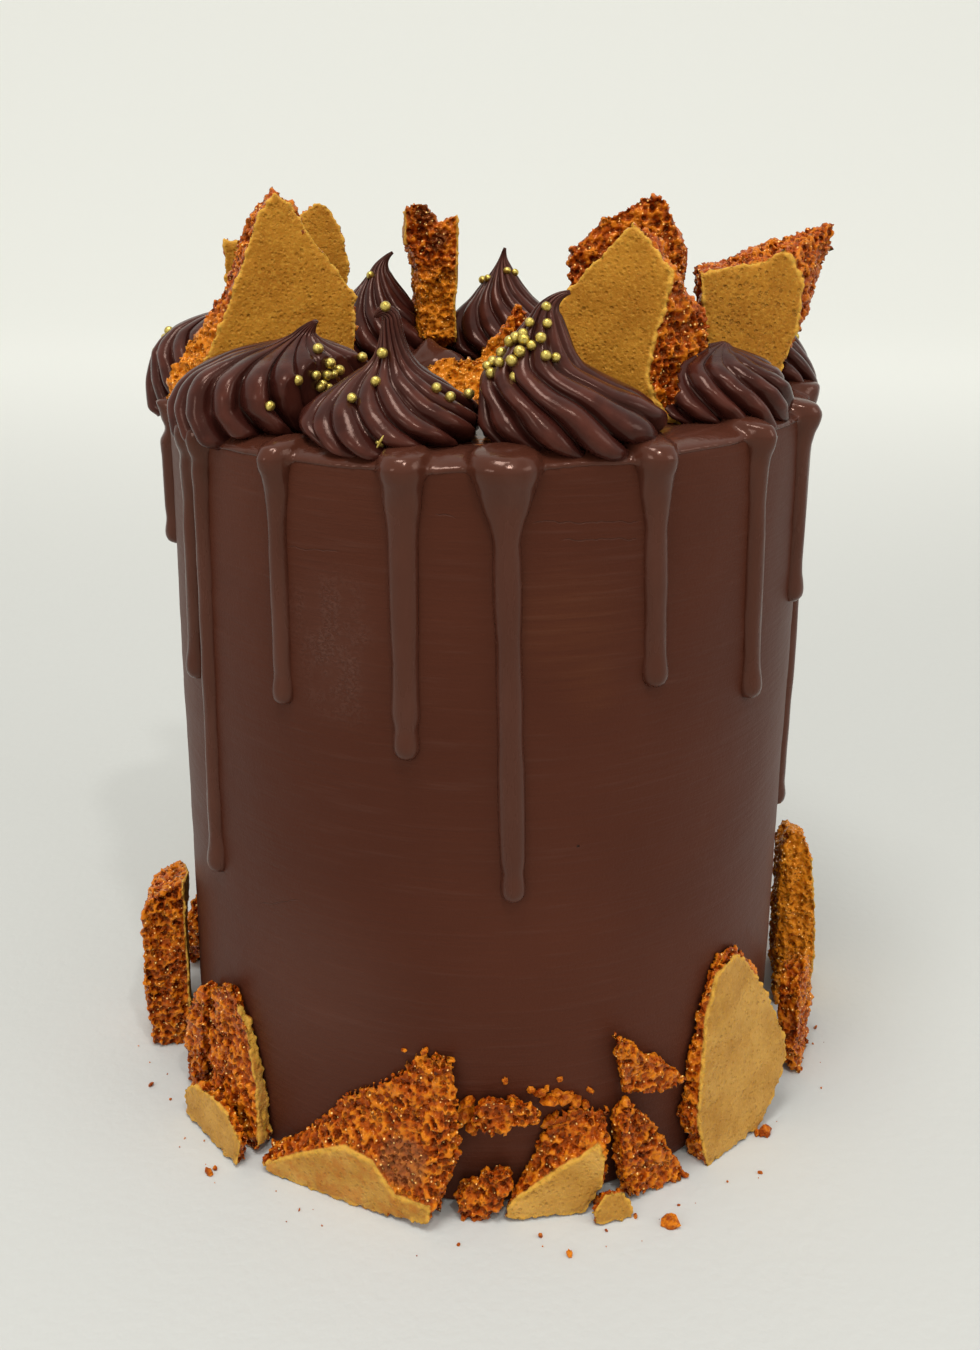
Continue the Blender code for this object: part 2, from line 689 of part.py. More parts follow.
def limits_of(name):
    """Planes that a swirl stays behind, each a point on it and the direction of the swirl's side."""
    here = Vector((*SWIRLS[name]["place"], 0.0))
    limits = []
    for other, swirl in SWIRLS.items():
        there = Vector((*swirl["place"], 0.0))
        if other != name and (there - here).length < 45.0:
            away = (here - there).normalized()
            limits.append(((here + there) / 2 + away * GAP / 2, away))
    for shard_name, face in PRESSED.get(name, ()):
        slab = TOP_SHARDS[shard_name]
        out = shard_frame(slab["facing"], slab["lean"])[0]
        place = Vector(slab["place"])
        if face == "front":
            limits.append((place + out * 2.5 * GAP, out))
        else:
            limits.append((place - out * (slab["depth"] + GAP + CRAG * 0.7), -out))
    for side, edge, who in ((1.0, EDGE_ON_RIGHT, "swirl_back"), (-1.0, EDGE_ON_LEFT, "swirl_back_left")):
        if name == who:
            start, end = Vector((*edge[0], 0.0)), Vector((*edge[1], 0.0))
            along = (end - start).normalized()
            limits.append((start, Vector((along.y, -along.x, 0.0)) * side))
    return limits


def press(point, middle, limits):
    """Draws a point level towards the swirl's middle until it is behind every plane."""
    spoke = Vector((point.x - middle.x, point.y - middle.y, 0.0))
    keep = 1.0
    for start, side in limits:
        room = (middle - start).dot(side)
        reach = room + spoke.dot(side)
        if reach < 0.0:
            keep = min(keep, max(0.02, room / (room - reach)))
    return Vector((middle.x + spoke.x * keep, middle.y + spoke.y * keep, point.z))


def pearl(place, finish):
    rings = []
    for i in range(1, PEARL_RINGS):
        tilt = math.pi * i / PEARL_RINGS
        ring = []
        for j in range(PEARL_SIDES):
            turn = math.tau * j / PEARL_SIDES
            spot = Vector((math.sin(tilt) * math.cos(turn), math.sin(tilt) * math.sin(turn), -math.cos(tilt)))
            ring.append(place + spot * PEARL_RADIUS)
        rings.append(ring)
    ends = Vector((0, 0, PEARL_RADIUS))
    return make_object("pearl", loft(rings, place - ends, place + ends), finish)


def swirl_solid(name, finish):
    """A fluted kiss of ganache, pressed flat where it meets a shard or the next swirl."""
    swirl = SWIRLS[name]
    limits = limits_of(name)
    points = swirl["ridges"] * 2
    rings = []
    for share, _ in profile_of(swirl):
        middle, radius = swirl_ring(swirl, share)
        twist = math.radians(swirl["turn"]) * (1.0 - share) ** 1.2
        ring = []
        for i in range(points):
            turn = twist + math.tau * i / points
            reach = radius * (1.0 + RIDGE_DEPTH * (0.4 if i % 2 else -1.0))
            spot = middle + Vector((math.cos(turn), math.sin(turn), 0.0)) * reach
            spot = press(spot, middle, limits)
            spot.z = max(spot.z, ground(spot.x, spot.y) + GAP + share * FOOT_STEP)
            ring.append(spot)
        rings.append(ring)
    foot, _ = swirl_ring(swirl, 0.0)
    tip, _ = swirl_ring(swirl, 1.0)
    body = make_object(name, loft(rings, foot, tip), finish)
    pearls = []
    for azimuth, share in swirl["pearls"]:
        middle, radius = swirl_ring(swirl, share)
        spot = press(middle + outward(azimuth) * radius, middle, limits)
        spot = middle + (spot - middle) * PEARL_DEPTH
        pearls.append(pearl(spot, finish))
    fuse(body, pearls)
    return body


def build():
    for old in list(bpy.data.objects):
        bpy.data.objects.remove(old)
    ganache = material("ganache", (0.068, 0.026, 0.018), 0.42)
    piped = material("piped_ganache", (0.05, 0.018, 0.013), 0.3)
    toffee = material("honeycomb_toffee", (0.55, 0.25, 0.035), 0.5)
    cake = cake_body(ganache)
    fuse(cake, [drip(*row[:6], ganache, row[6]) for row in DRIPS] + [smear(ganache)])
    for name in SWIRLS:
        swirl_solid(name, piped)
    for name, slab in TOP_SHARDS.items():
        shard(name, toffee, stand_on_top, **dict(slab, place=shard_place(slab)))
    for name, slab in FOOT_SHARDS.items():
        spec = {key: value for key, value in slab.items() if key not in ("distance", "place")}
        shard(name, toffee, lean_on_wall, place=shard_place(slab), **spec)
    for i, (azimuth, width, height, seed, broken) in enumerate(BACK_SHARDS, start=1):
        shard(
            f"foot_back_{i}",
            toffee,
            lean_on_wall,
            facing=azimuth,
            lean=6,
            depth=BACK_DEPTH,
            front=rough_outline(width, height, seed),
            place=outward(azimuth) * BACK_DISTANCE,
            craggy_front=broken,
        )


build()
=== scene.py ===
import math
import random

import bmesh
import bpy
import numpy as np
from mathutils import Matrix, Vector, noise
from mathutils.bvhtree import BVHTree


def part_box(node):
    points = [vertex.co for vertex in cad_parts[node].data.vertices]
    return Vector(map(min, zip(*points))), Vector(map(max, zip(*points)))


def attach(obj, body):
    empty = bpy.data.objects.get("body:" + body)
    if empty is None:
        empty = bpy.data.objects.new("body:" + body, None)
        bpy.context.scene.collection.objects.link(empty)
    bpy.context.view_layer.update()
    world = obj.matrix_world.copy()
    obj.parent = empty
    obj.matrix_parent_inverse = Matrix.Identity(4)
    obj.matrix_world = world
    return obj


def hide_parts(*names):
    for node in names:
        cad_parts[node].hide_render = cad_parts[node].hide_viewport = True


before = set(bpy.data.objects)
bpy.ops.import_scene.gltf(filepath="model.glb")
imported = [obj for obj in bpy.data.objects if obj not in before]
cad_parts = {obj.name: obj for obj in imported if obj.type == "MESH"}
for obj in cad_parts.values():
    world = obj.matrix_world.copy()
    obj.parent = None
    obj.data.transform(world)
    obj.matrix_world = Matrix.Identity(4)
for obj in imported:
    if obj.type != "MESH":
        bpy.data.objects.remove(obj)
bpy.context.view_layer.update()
MM = 0.001

# The view: a camera a little above the rim, in front of the cake, tipped down so that the foot and the
# swirls both show.
CAMERA_PLACE = Vector((0.0, -0.3403, 0.2454))
PITCH, YAW, ROLL = (math.radians(angle) for angle in (15.56, 0.12, 0.57))
FOCAL_PIXELS = 1327.0
PICTURE_HEIGHT = 1350.0  # pixels, and the picture is 980 wide
MIDDLE_PIXEL = (490.0, 501.2)  # where the camera's axis meets the picture

ahead = Vector((math.sin(YAW) * math.cos(PITCH), math.cos(YAW) * math.cos(PITCH), -math.sin(PITCH)))
level = Vector((math.cos(YAW), -math.sin(YAW), 0.0))
upright = level.cross(ahead)
rightward = level * math.cos(ROLL) + upright * math.sin(ROLL)
upward = upright * math.cos(ROLL) - level * math.sin(ROLL)
camera_data = bpy.data.cameras.new("camera")
camera_data.lens = camera_data.sensor_width * FOCAL_PIXELS / PICTURE_HEIGHT
camera_data.shift_y = (MIDDLE_PIXEL[1] - PICTURE_HEIGHT / 2) / PICTURE_HEIGHT
camera = bpy.data.objects.new("camera", camera_data)
bpy.context.scene.collection.objects.link(camera)
turned = Matrix((rightward, upward, -ahead)).transposed().to_4x4()
camera.matrix_world = Matrix.Translation(CAMERA_PLACE) @ turned
bpy.context.scene.camera = camera


def sight(x, y):
    """Direction from the camera through a point of the picture."""
    across, down = x - MIDDLE_PIXEL[0], y - MIDDLE_PIXEL[1]
    return (ahead * FOCAL_PIXELS + rightward * across - upward * down).normalized()


# The room: a pale floor that runs up into a pale wall, an even surround, and wide soft lights above the
# cake, as in a kitchen with a white ceiling.
class Wire:
    """An output of a shader node. Arithmetic on it adds Math nodes."""

    def __init__(self, tree, socket=None):
        self.tree = tree
        self.socket = socket

    def node(self, kind, settings=None, values=None, output=0):
        """Adds any node: its settings first, then the values or links of its sockets."""
        made = self.tree.nodes.new("ShaderNode" + kind)
        for name, value in (settings or {}).items():
            if name == "stops":
                stops = made.color_ramp.elements
                while len(stops) < len(value):
                    stops.new(0.5)
                for stop, (place, colour) in zip(stops, value):
                    stop.position = place
                    stop.color = (*colour, 1.0)
            else:
                setattr(made, name, value)
        for name, value in (values or {}).items():
            if isinstance(value, Wire):
                self.tree.links.new(value.socket, made.inputs[name])
            else:
                made.inputs[name].default_value = value
        return Wire(self.tree, made.outputs[output])

    def math(self, operation, first, second=0.0):
        return self.node("Math", {"operation": operation}, {0: first, 1: second})

    def __add__(self, other):
        return self.math("ADD", self, other)

    def __sub__(self, other):
        return self.math("SUBTRACT", self, other)

    def __rsub__(self, other):
        return self.math("SUBTRACT", other, self)

    def __mul__(self, other):
        return self.math("MULTIPLY", self, other)

    def __pow__(self, other):
        return self.math("POWER", self, other)

    __radd__ = __add__
    __rmul__ = __mul__

    def between(self, low, high):
        """0 below low, 1 above high, smooth in between."""
        return self.node("MapRange", {"interpolation_type": "SMOOTHSTEP"}, {0: self, 1: low, 2: high})

    def size(self):
        """This without its sign."""
        return self.math("ABSOLUTE", self)

    def blend(self, none, full):
        """A colour: none where this is 0, full where it is 1."""
        none = none if isinstance(none, Wire) else (*none, 1.0)
        full = full if isinstance(full, Wire) else (*full, 1.0)
        return self.node("Mix", {"data_type": "RGBA"}, {0: self, 6: none, 7: full}, output=2)

    def stretch(self, x, y, z):
        return self.node("VectorMath", {"operation": "MULTIPLY"}, {0: self, 1: (x, y, z)})

    def clouds(self, scale, detail=3.0, roughness=0.55):
        values = {"Vector": self, "Scale": scale, "Detail": detail, "Roughness": roughness}
        return self.node("TexNoise", {}, values)

    def cells(self, scale, jitter=1.0, output="Distance"):
        values = {"Vector": self, "Scale": scale, "Randomness": jitter}
        return self.node("TexVoronoi", {}, values, output=output)

    def near(self, place, reach, edge):
        """1 within reach of a place, falling to 0 over the edge, in millimetres."""
        spot = [c * MM for c in place]
        away = self.node("VectorMath", {"operation": "DISTANCE"}, {0: self, 1: spot}, output=1)
        return 1.0 - away.between(reach * MM, (reach + edge) * MM)

    def to(self, shader, name):
        self.tree.links.new(self.socket, shader.inputs[name])

    def bump(self, shader, depth):
        """Feeds this height, which spans depth in metres, to the shader's normal."""
        raised = self.node("Bump", {}, {"Strength": 1.0, "Distance": depth, "Height": self})
        raised.to(shader, "Normal")


def new_finish(name, **constants):
    """A material with its constant values set, its shader and its Object coordinates."""
    made = bpy.data.materials.new(name)
    made.use_nodes = True
    shader = made.node_tree.nodes["Principled BSDF"]
    for socket, value in constants.items():
        shader.inputs[socket.replace("_", " ")].default_value = value
    return made, shader, Wire(made.node_tree).node("TexCoord", output="Object")


def start_editing(piece):
    bpy.ops.object.select_all(action="DESELECT")
    bpy.context.view_layer.objects.active = piece
    piece.select_set(True)
    bpy.ops.object.mode_set(mode="EDIT")


def stop_editing():
    bpy.ops.object.mode_set(mode="OBJECT")


def choose(piece, kind, test):
    """In edit mode, selects just the edges or faces that pass a test."""
    bpy.context.tool_settings.mesh_select_mode = (False, kind == "edges", kind == "faces")
    bpy.ops.mesh.select_all(action="DESELECT")
    surface = bmesh.from_edit_mesh(piece.data)
    for part in getattr(surface, kind):
        if test(part):
            part.select_set(True)
    bmesh.update_edit_mesh(piece.data)


bpy.context.scene.view_settings.view_transform = "Standard"
FLOOR_SIZE = 6.0
FLOOR_CURVE = 1.6  # how far from the wall the floor starts to turn up
BACK_EDGE = 0.49 * FLOOR_SIZE
FLOOR_NEAR = (0.58, 0.585, 0.55)
FLOOR_FAR = (0.84, 0.845, 0.79)
FLOOR_GLOW = (0.93, 0.94, 0.88)
bpy.ops.object.select_all(action="DESELECT")
bpy.ops.mesh.primitive_plane_add(size=FLOOR_SIZE)
floor = bpy.context.object
floor.name = "floor"
start_editing(floor)
choose(floor, "edges", lambda e: all(v.co.y > BACK_EDGE for v in e.verts))
bpy.ops.mesh.extrude_region_move(TRANSFORM_OT_translate={"value": (0, 0, FLOOR_SIZE / 2)})
choose(floor, "edges", lambda e: all(v.co.y > BACK_EDGE and v.co.z < 0.01 for v in e.verts))
bpy.ops.mesh.bevel(offset=FLOOR_CURVE, segments=16, affect="EDGES")
stop_editing()
bpy.ops.object.shade_smooth()
pale, shader, here = new_finish("pale_floor", Roughness=0.75, Emission_Strength=0.16)
far = here.node("SeparateXYZ", {}, {0: here}, output="Y").between(0.1, 1.2)
far.blend(FLOOR_NEAR, FLOOR_FAR).to(shader, "Base Color")
far.blend((0, 0, 0), FLOOR_GLOW).to(shader, "Emission Color")
here.clouds(300.0, 2.0).bump(shader, 0.0002)
floor.data.materials.append(pale)

surround = bpy.data.worlds.new("surround")
surround.use_nodes = True
surround.node_tree.nodes["Background"].inputs["Color"].default_value = (1.0, 0.99, 0.965, 1.0)
surround.node_tree.nodes["Background"].inputs["Strength"].default_value = 0.74
bpy.context.scene.world = surround
CAKE_MIDDLE = Vector((0, 0, 0.12))  # where the lights point
for name, place, side, watts in (
    ("ceiling_light", (-0.12, -0.22, 1.05), 0.3, 4.2),
    ("window_light", (-1.1, -1.3, 0.9), 0.45, 3.2),
    ("far_light", (1.3, -0.5, 0.9), 0.6, 3.2),
    ("spot_light", (0.16, -0.5, 0.95), 0.045, 1.5),
):
    lamp = bpy.data.lights.new(name, "AREA")
    lamp.size = side
    lamp.energy = watts
    light = bpy.data.objects.new(name, lamp)
    light.location = place
    light.rotation_euler = (CAKE_MIDDLE - Vector(place)).to_track_quat("-Z", "Y").to_euler()
    bpy.context.scene.collection.objects.link(light)

# The cake: layers stacked tall and coated in ganache, smoothed with a scraper that leaves faint level
# lines, soft dull patches and a few fine cracks. Its top slopes a little.
CAKE_RADIUS = 81.0 * MM
CAKE_HEIGHT = 181.0 * MM
TOP_SLOPE = 0.028
GANACHE_DARK = (0.066, 0.0175, 0.0088)
GANACHE = (0.081, 0.0225, 0.0115)
GANACHE_PALE = (0.125, 0.058, 0.042)
GANACHE_WARM = (0.125, 0.040, 0.0135)
GANACHE_SHEEN = (1.0, 0.66, 0.53, 1.0)
# painted shade inside the wall's tiny air hole
HOLE_SHADE = (0.02, 0.008, 0.005)
# patches of the wall: the point of the picture at the middle, the reach and the width of the edge
WARM_PATCHES = (((566, 625), 2.0, 17.0), ((590, 690), 1.0, 9.0))
DULL_PATCHES = (((332, 620), 3.0, 13.0), ((338, 680), 2.0, 12.0))
# a broad pale patch on the left of the wall: painted sheen, where the window's reflection falls
PAINTED_SHEEN_PATCH = (((318, 985), 6.0, 26.0),)
AIR_HOLE = (((578, 846), 0.15, 0.3),)
# fine cracks, by the points of the picture at their ends
CRACKS = (
    ((530, 522), (642, 521)), ((432, 514), (458, 518)), ((560, 540), (640, 538)), ((285, 546), (340, 552)),
    ((258, 904), (300, 900)),
)
CRACK_WANDER = 3.0 * MM
CRACK_FADE = 2.0 * MM


def top_height(x):
    return CAKE_HEIGHT + TOP_SLOPE * x


def wall_at(x, y, proud=0.0):
    """The point of the wall that a point of the picture shows, or one a little proud of it."""
    way = sight(x, y)
    a = way.x**2 + way.y**2
    b = 2 * (CAMERA_PLACE.x * way.x + CAMERA_PLACE.y * way.y)
    c = CAMERA_PLACE.x**2 + CAMERA_PLACE.y**2 - (CAKE_RADIUS + proud) ** 2
    return CAMERA_PLACE + way * (-b - math.sqrt(b * b - 4 * a * c)) / (2 * a)


def outward(azimuth):
    """Level direction at an azimuth in degrees, from the front towards the right."""
    turn = math.radians(azimuth)
    return Vector((math.sin(turn), -math.cos(turn), 0.0))


def settle(piece):
    """Moves a piece's place, turn and size into its mesh."""
    bpy.ops.object.select_all(action="DESELECT")
    bpy.context.view_layer.objects.active = piece
    piece.select_set(True)
    bpy.ops.object.transform_apply(location=True, rotation=True, scale=True)


def add_modifier(piece, kind, **settings):
    """Adds a modifier to a piece and applies it."""
    made = piece.modifiers.new(kind.lower(), kind)
    for name, value in settings.items():
        setattr(made, name, value)
    bpy.context.view_layer.objects.active = piece
    bpy.ops.object.modifier_apply(modifier=made.name)


def join(pieces):
    bpy.ops.object.select_all(action="DESELECT")
    for piece in pieces:
        piece.select_set(True)
    bpy.context.view_layer.objects.active = pieces[0]
    bpy.ops.object.join()
    return pieces[0]


def place_piece(piece, name, finish, nodes):
    """Names a finished piece, gives it its finish and puts it in the frame in place of its nodes."""
    piece.name = name
    piece.data.name = name
    piece.data.materials.clear()
    piece.data.materials.append(finish)
    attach(piece, "root")
    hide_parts(*nodes)


bpy.ops.object.select_all(action="DESELECT")
bpy.ops.mesh.primitive_cylinder_add(
    vertices=288, radius=CAKE_RADIUS, depth=CAKE_HEIGHT, end_fill_type="NGON",
    location=(0, 0, CAKE_HEIGHT / 2)
)
wall = bpy.context.object
settle(wall)
start_editing(wall)
choose(wall, "edges", lambda e: abs(e.verts[0].co.z - e.verts[1].co.z) > 0.1)
bpy.ops.mesh.subdivide(number_cuts=60)
choose(wall, "edges", lambda e: all(v.co.z > CAKE_HEIGHT - 1e-5 for v in e.verts))
bpy.ops.mesh.bevel(offset=2.4 * MM, segments=6, affect="EDGES")
choose(wall, "edges", lambda e: all(v.co.z < 1e-5 for v in e.verts))
bpy.ops.mesh.bevel(offset=1.2 * MM, segments=4, affect="EDGES")
stop_editing()
for vertex in wall.data.vertices:
    co = vertex.co
    around = Vector((co.x, co.y, 0.0)).normalized()
    fade = min(1.0, max(0.0, min(co.z, CAKE_HEIGHT - co.z) - 2.0 * MM) / (6.0 * MM))
    swell = noise.noise(co * 22.0) * 0.35 + noise.noise(Vector((co.x * 30, co.y * 30, co.z * 210))) * 0.16
    vertex.co = co + around * swell * MM * fade
    vertex.co.z += TOP_SLOPE * co.x * co.z / CAKE_HEIGHT
bpy.ops.object.shade_smooth()



def patches(rows):
    """How much of a finish shows in patches of the wall."""
    return sum(here.near(wall_at(*point) / MM, reach, edge) for point, reach, edge in rows)


ganache, shader, here = new_finish(
    "ganache", Roughness=0.42, IOR=1.45, Specular_IOR_Level=0.17, Specular_Tint=GANACHE_SHEEN
)
broad = here.clouds(11.0, 3.0, 0.5)
scraped = here.stretch(45.0, 45.0, 900.0).clouds(1.0, 5.0, 0.6)
grain = here.clouds(1500.0, 2.0, 0.6)
tone = broad.between(0.32, 0.68).blend(GANACHE_DARK, GANACHE)
tone = (scraped.between(0.5, 0.85) * 0.22).blend(tone, GANACHE_PALE)
tone = (patches(WARM_PATCHES) * scraped.between(0.2, 0.7) * 0.26).blend(tone, GANACHE_WARM)
speckle = here.clouds(1300.0, 2.0, 0.7).between(0.42, 0.62) * here.clouds(160.0, 2.0).between(0.35, 0.6)
dull = patches(DULL_PATCHES) * (0.35 + speckle)
tone = (dull * 0.36).blend(tone, GANACHE_PALE)
# painted sheen: the wall's colour is lifted in a broad patch where the window's reflection falls
tone = (patches(PAINTED_SHEEN_PATCH) * (0.1 + scraped * 0.2)).blend(tone, GANACHE_PALE)
sides = here.node("SeparateXYZ", {}, {0: here})
across, away, height = (Wire(sides.tree, output) for output in sides.socket.node.outputs)
front = 1.0 - away.between(-0.03, 0.0)
wander = here.stretch(1.0, 0.0, 0.0).clouds(190.0, 3.0) * CRACK_WANDER
cracks = 0.0
for start, end in CRACKS:
    start, end = wall_at(*start), wall_at(*end)
    rise = (end.z - start.z) / (end.x - start.x)
    path = (height - across * rise + wander - (start.z - start.x * rise + CRACK_WANDER / 2)).size()
    line = (1.0 - path.between(0.03 * MM, 0.2 * MM)) * across.between(start.x, start.x + CRACK_FADE)
    cracks = line * (1.0 - across.between(end.x - CRACK_FADE, end.x)) * front + cracks
hollow = patches(AIR_HOLE)
tone = (cracks * 0.35).blend(tone, GANACHE_PALE)
# the air hole is only pressed in by the bump; its dark colour is painted shade inside it
hollow.blend(tone, HOLE_SHADE).to(shader, "Base Color")
(0.37 + broad * 0.08 + dull * 0.2 + scraped * 0.1).to(shader, "Roughness")
raised = scraped * 0.4 + grain * 0.16 + here.clouds(60.0, 3.0) * 0.9 + dull * 0.3
(raised - cracks * 0.45 - hollow * 0.8).bump(shader, 0.00045)
place_piece(wall, "cake_wall", ganache, ["cake"])

# The glaze: warm ganache poured over the top, which runs over the rim in a thin lip and hangs down the
# wall in drips with round ends.
DRIPS = (
    # azimuth at the rim and at the end, height of the end, half widths of stem, bulb and flare, hump
    (-79.0, -79.0, 143.0, 2.4, 2.9, 3.6, 0.4),
    (-57.0, -59.0, 117.0, 2.8, 3.3, 4.2, 1.8),
    (-52.5, -54.0, 68.0, 2.3, 3.2, 3.4, 1.8),
    (-33.5, -33.5, 122.0, 2.4, 2.9, 3.8, 3.0),
    (-12.5, -12.0, 114.5, 3.3, 3.1, 5.2, 2.9),
    (2.5, 4.7, 81.0, 3.1, 3.0, 7.4, 3.2),
    (25.5, 27.0, 129.0, 2.9, 3.3, 4.9, 3.1),
    (47.0, 49.5, 118.0, 2.8, 3.3, 3.6, 2.7),
    (66.0, 68.0, 134.0, 2.7, 3.3, 4.0, 2.8),
    (84.0, 85.0, 66.0, 2.6, 3.0, 5.0, 1.2),
    (103.0, 104.0, 138.0, 2.7, 3.2, 4.4, 3.0),
    (122.0, 121.0, 92.0, 2.9, 3.3, 5.0, 3.0),
    (141.0, 142.0, 126.0, 2.6, 3.1, 4.2, 3.0),
    (163.0, 162.0, 108.0, 3.0, 3.2, 6.0, 3.1),
    (184.0, 185.0, 140.0, 2.7, 3.2, 4.6, 2.9),
    (203.0, 204.0, 84.0, 2.9, 3.2, 5.2, 3.1),
    (223.0, 222.0, 121.0, 2.7, 3.3, 4.4, 3.0),
    (244.0, 245.0, 132.0, 2.6, 3.0, 4.0, 2.9),
    (262.0, 263.0, 103.0, 2.8, 3.2, 4.6, 3.0),
)
STEM_PROUD = 2.6
STEM_START = 16.5  # how far below the rim the stem keeps one width
BULB_START = 3.4
# height, half width and half depth of the round end, for a bulb of half width 1
ROUND_END = (
    (2.4, 0.86, 0.88), (1.7, 0.96, 1.0), (1.05, 1.0, 1.08), (0.6, 0.93, 1.0),
    (0.28, 0.74, 0.8), (0.08, 0.42, 0.45),
)
GLAZE = (0.061, 0.0175, 0.0095)
GLAZE_WORN = (0.074, 0.0225, 0.013)
GLAZE_PALE = (0.115, 0.048, 0.034)


def drip(azimuth, end_azimuth, end, stem, bulb, flare, hump):
    """A drip, drawn from its start on the top down to its end: a disc extruded, moved and resized."""
    top = top_height(outward(azimuth).x * CAKE_RADIUS) / MM
    wall_radius = CAKE_RADIUS / MM
    # height, distance from the axis, half width, half depth
    stations = [
        (top + 2.7, 75.8, flare * 0.5, 2.6),
        (top + 2.4, 76.8, flare * 0.78, 4.4),
        (top + 1.6, 78.4, flare * 0.98, 6.2),
        (top - 0.6, 79.6, flare * 1.05, hump + 3.6),
        (top - 3.0, 80.2, flare * 1.0, hump + 2.6),
        (top - 5.5, 80.6, flare * 0.86, hump + 1.1),
        (top - 8.5, 80.8, flare * 0.55 + stem * 0.45, STEM_PROUD + 0.4),
        (top - 12.5, 80.8, flare * 0.2 + stem * 0.8, STEM_PROUD + 0.2),
    ]
    draw = random.Random(int(azimuth * 10))
    high, low = top - STEM_START, end + BULB_START * bulb
    steps = max(1, round((high - low) / 7.0))
    for i in range(steps + 1):
        half_width = stem * draw.uniform(0.93, 1.05)
        half_depth = STEM_PROUD + draw.uniform(-0.1, 0.25)
        stations.append((high + (low - high) * i / steps, wall_radius - 0.2, half_width, half_depth))
    for rise, wide, deep in ROUND_END:
        stations.append((end + rise * bulb, wall_radius - 0.3, bulb * wide, bulb * deep))
    bpy.ops.object.select_all(action="DESELECT")
    bpy.ops.mesh.primitive_circle_add(vertices=20, radius=MM, fill_type="NGON")
    run = bpy.context.object
    bpy.ops.object.mode_set(mode="EDIT")
    bpy.ops.mesh.select_all(action="SELECT")
    x, y, z, wide, deep = 0.0, 0.0, 0.0, 1.0, 1.0
    for i, (at, distance, half_width, half_depth) in enumerate(stations):
        share = min(1.0, max(0.0, (top - at) / (top - end)))
        new_x = math.radians(end_azimuth - azimuth) * wall_radius * share
        step = ((new_x - x) * MM, (y - distance) * MM, (at - z) * MM)
        if i == 0:
            bpy.ops.transform.translate(value=step)
        else:
            bpy.ops.mesh.extrude_region_move(TRANSFORM_OT_translate={"value": step})
        x, y, z = new_x, distance, at
        middle = (x * MM, -y * MM, z * MM)
        bpy.ops.transform.resize(value=(half_width / wide, half_depth / deep, 1.0), center_override=middle)
        wide, deep = half_width, half_depth
    bpy.ops.mesh.select_all(action="SELECT")
    bpy.ops.mesh.normals_make_consistent(inside=False)
    bpy.ops.object.mode_set(mode="OBJECT")
    run.rotation_euler.z = math.radians(azimuth)
    settle(run)
    return run


LIP_RADIUS = 72.6 * MM
LIP_WIDTH = 8.9 * MM
LIP_FLATNESS = 0.2
LIP_WAVE = 0.004
bpy.ops.object.select_all(action="DESELECT")
bpy.ops.mesh.primitive_torus_add(
    major_radius=LIP_RADIUS, minor_radius=LIP_WIDTH, major_segments=220, minor_segments=28
)
lip = bpy.context.object
for vertex in lip.data.vertices:
    co = vertex.co
    edge = max(0.0, (math.hypot(co.x, co.y) / MM - 76.0) / 5.5)
    wave = noise.noise(Vector((co.x, co.y, 0.1)) * 75.0)
    vertex.co.x *= 1.0 + LIP_WAVE * wave * edge
    vertex.co.y *= 1.0 + LIP_WAVE * wave * edge
    vertex.co.z = co.z * LIP_FLATNESS - (0.5 + edge * (0.9 + 0.7 * wave)) * MM + top_height(co.x)
glaze = join([lip] + [drip(*row) for row in DRIPS])
add_modifier(glaze, "REMESH", mode="VOXEL", voxel_size=0.72 * MM)
add_modifier(glaze, "SMOOTH", factor=0.5, iterations=5)
bpy.ops.object.shade_smooth()

poured, shader, here = new_finish(
    "poured_glaze", Roughness=0.3, IOR=1.46, Specular_IOR_Level=0.42, Specular_Tint=GANACHE_SHEEN
)
tone = here.clouds(26.0, 4.0, 0.55).between(0.35, 0.7).blend(GLAZE, GLAZE_WORN)
film = here.stretch(160.0, 160.0, 36.0).clouds(1.0, 4.0, 0.6)
(film.between(0.5, 0.8) * 0.25).blend(tone, GLAZE_PALE).to(shader, "Base Color")
near_rim = here.node("SeparateXYZ", {}, {0: here}, output="Z").between(0.168, 0.177)
(0.19 + film * 0.16 - near_rim * 0.09).to(shader, "Roughness")
(film * 0.7 + here.clouds(900.0, 2.0) * 0.1).bump(shader, 0.0003)
place_piece(glaze, "glaze_lip_and_drips", poured, ["cake"])

# The glaze in the middle of the top, where the swirls leave it bare, with the dab of ganache that one
# shard of toffee is stuck into.
POOL_RADIUS = 67.0 * MM
POOL_DEPTH = 2.2 * MM
DAB_RADIUS = 9.5 * MM
DAB_HEIGHT = 8.2 * MM
DAB_PLACE = (-15.5 * MM, 31.0 * MM, 0.0)
bpy.ops.object.select_all(action="DESELECT")
bpy.ops.mesh.primitive_cylinder_add(vertices=96, radius=POOL_RADIUS, depth=POOL_DEPTH, end_fill_type="TRIFAN")
pool = bpy.context.object
bpy.ops.mesh.primitive_uv_sphere_add(segments=32, ring_count=16, radius=DAB_RADIUS)
dab = bpy.context.object
dab.scale.z = DAB_HEIGHT / DAB_RADIUS
dab.location = DAB_PLACE
settle(dab)
pool = join([pool, dab])
add_modifier(pool, "REMESH", mode="VOXEL", voxel_size=1.0 * MM)
add_modifier(pool, "SMOOTH", factor=0.5, iterations=4)
noise.seed_set(4)  # without it the vectors of the noise differ from run to run
for vertex in pool.data.vertices:
    co = vertex.co
    co += noise.noise_vector(co * 120.0) * min(3.0 * MM, max(0.0, co.z - 1.2 * MM) * 0.6)
    vertex.co.z = co.z + top_height(co.x) - 0.5 * MM + noise.noise(co * 60.0) * 0.5 * MM
bpy.ops.object.shade_smooth()
place_piece(pool, "glaze_pool", poured, ["cake"])

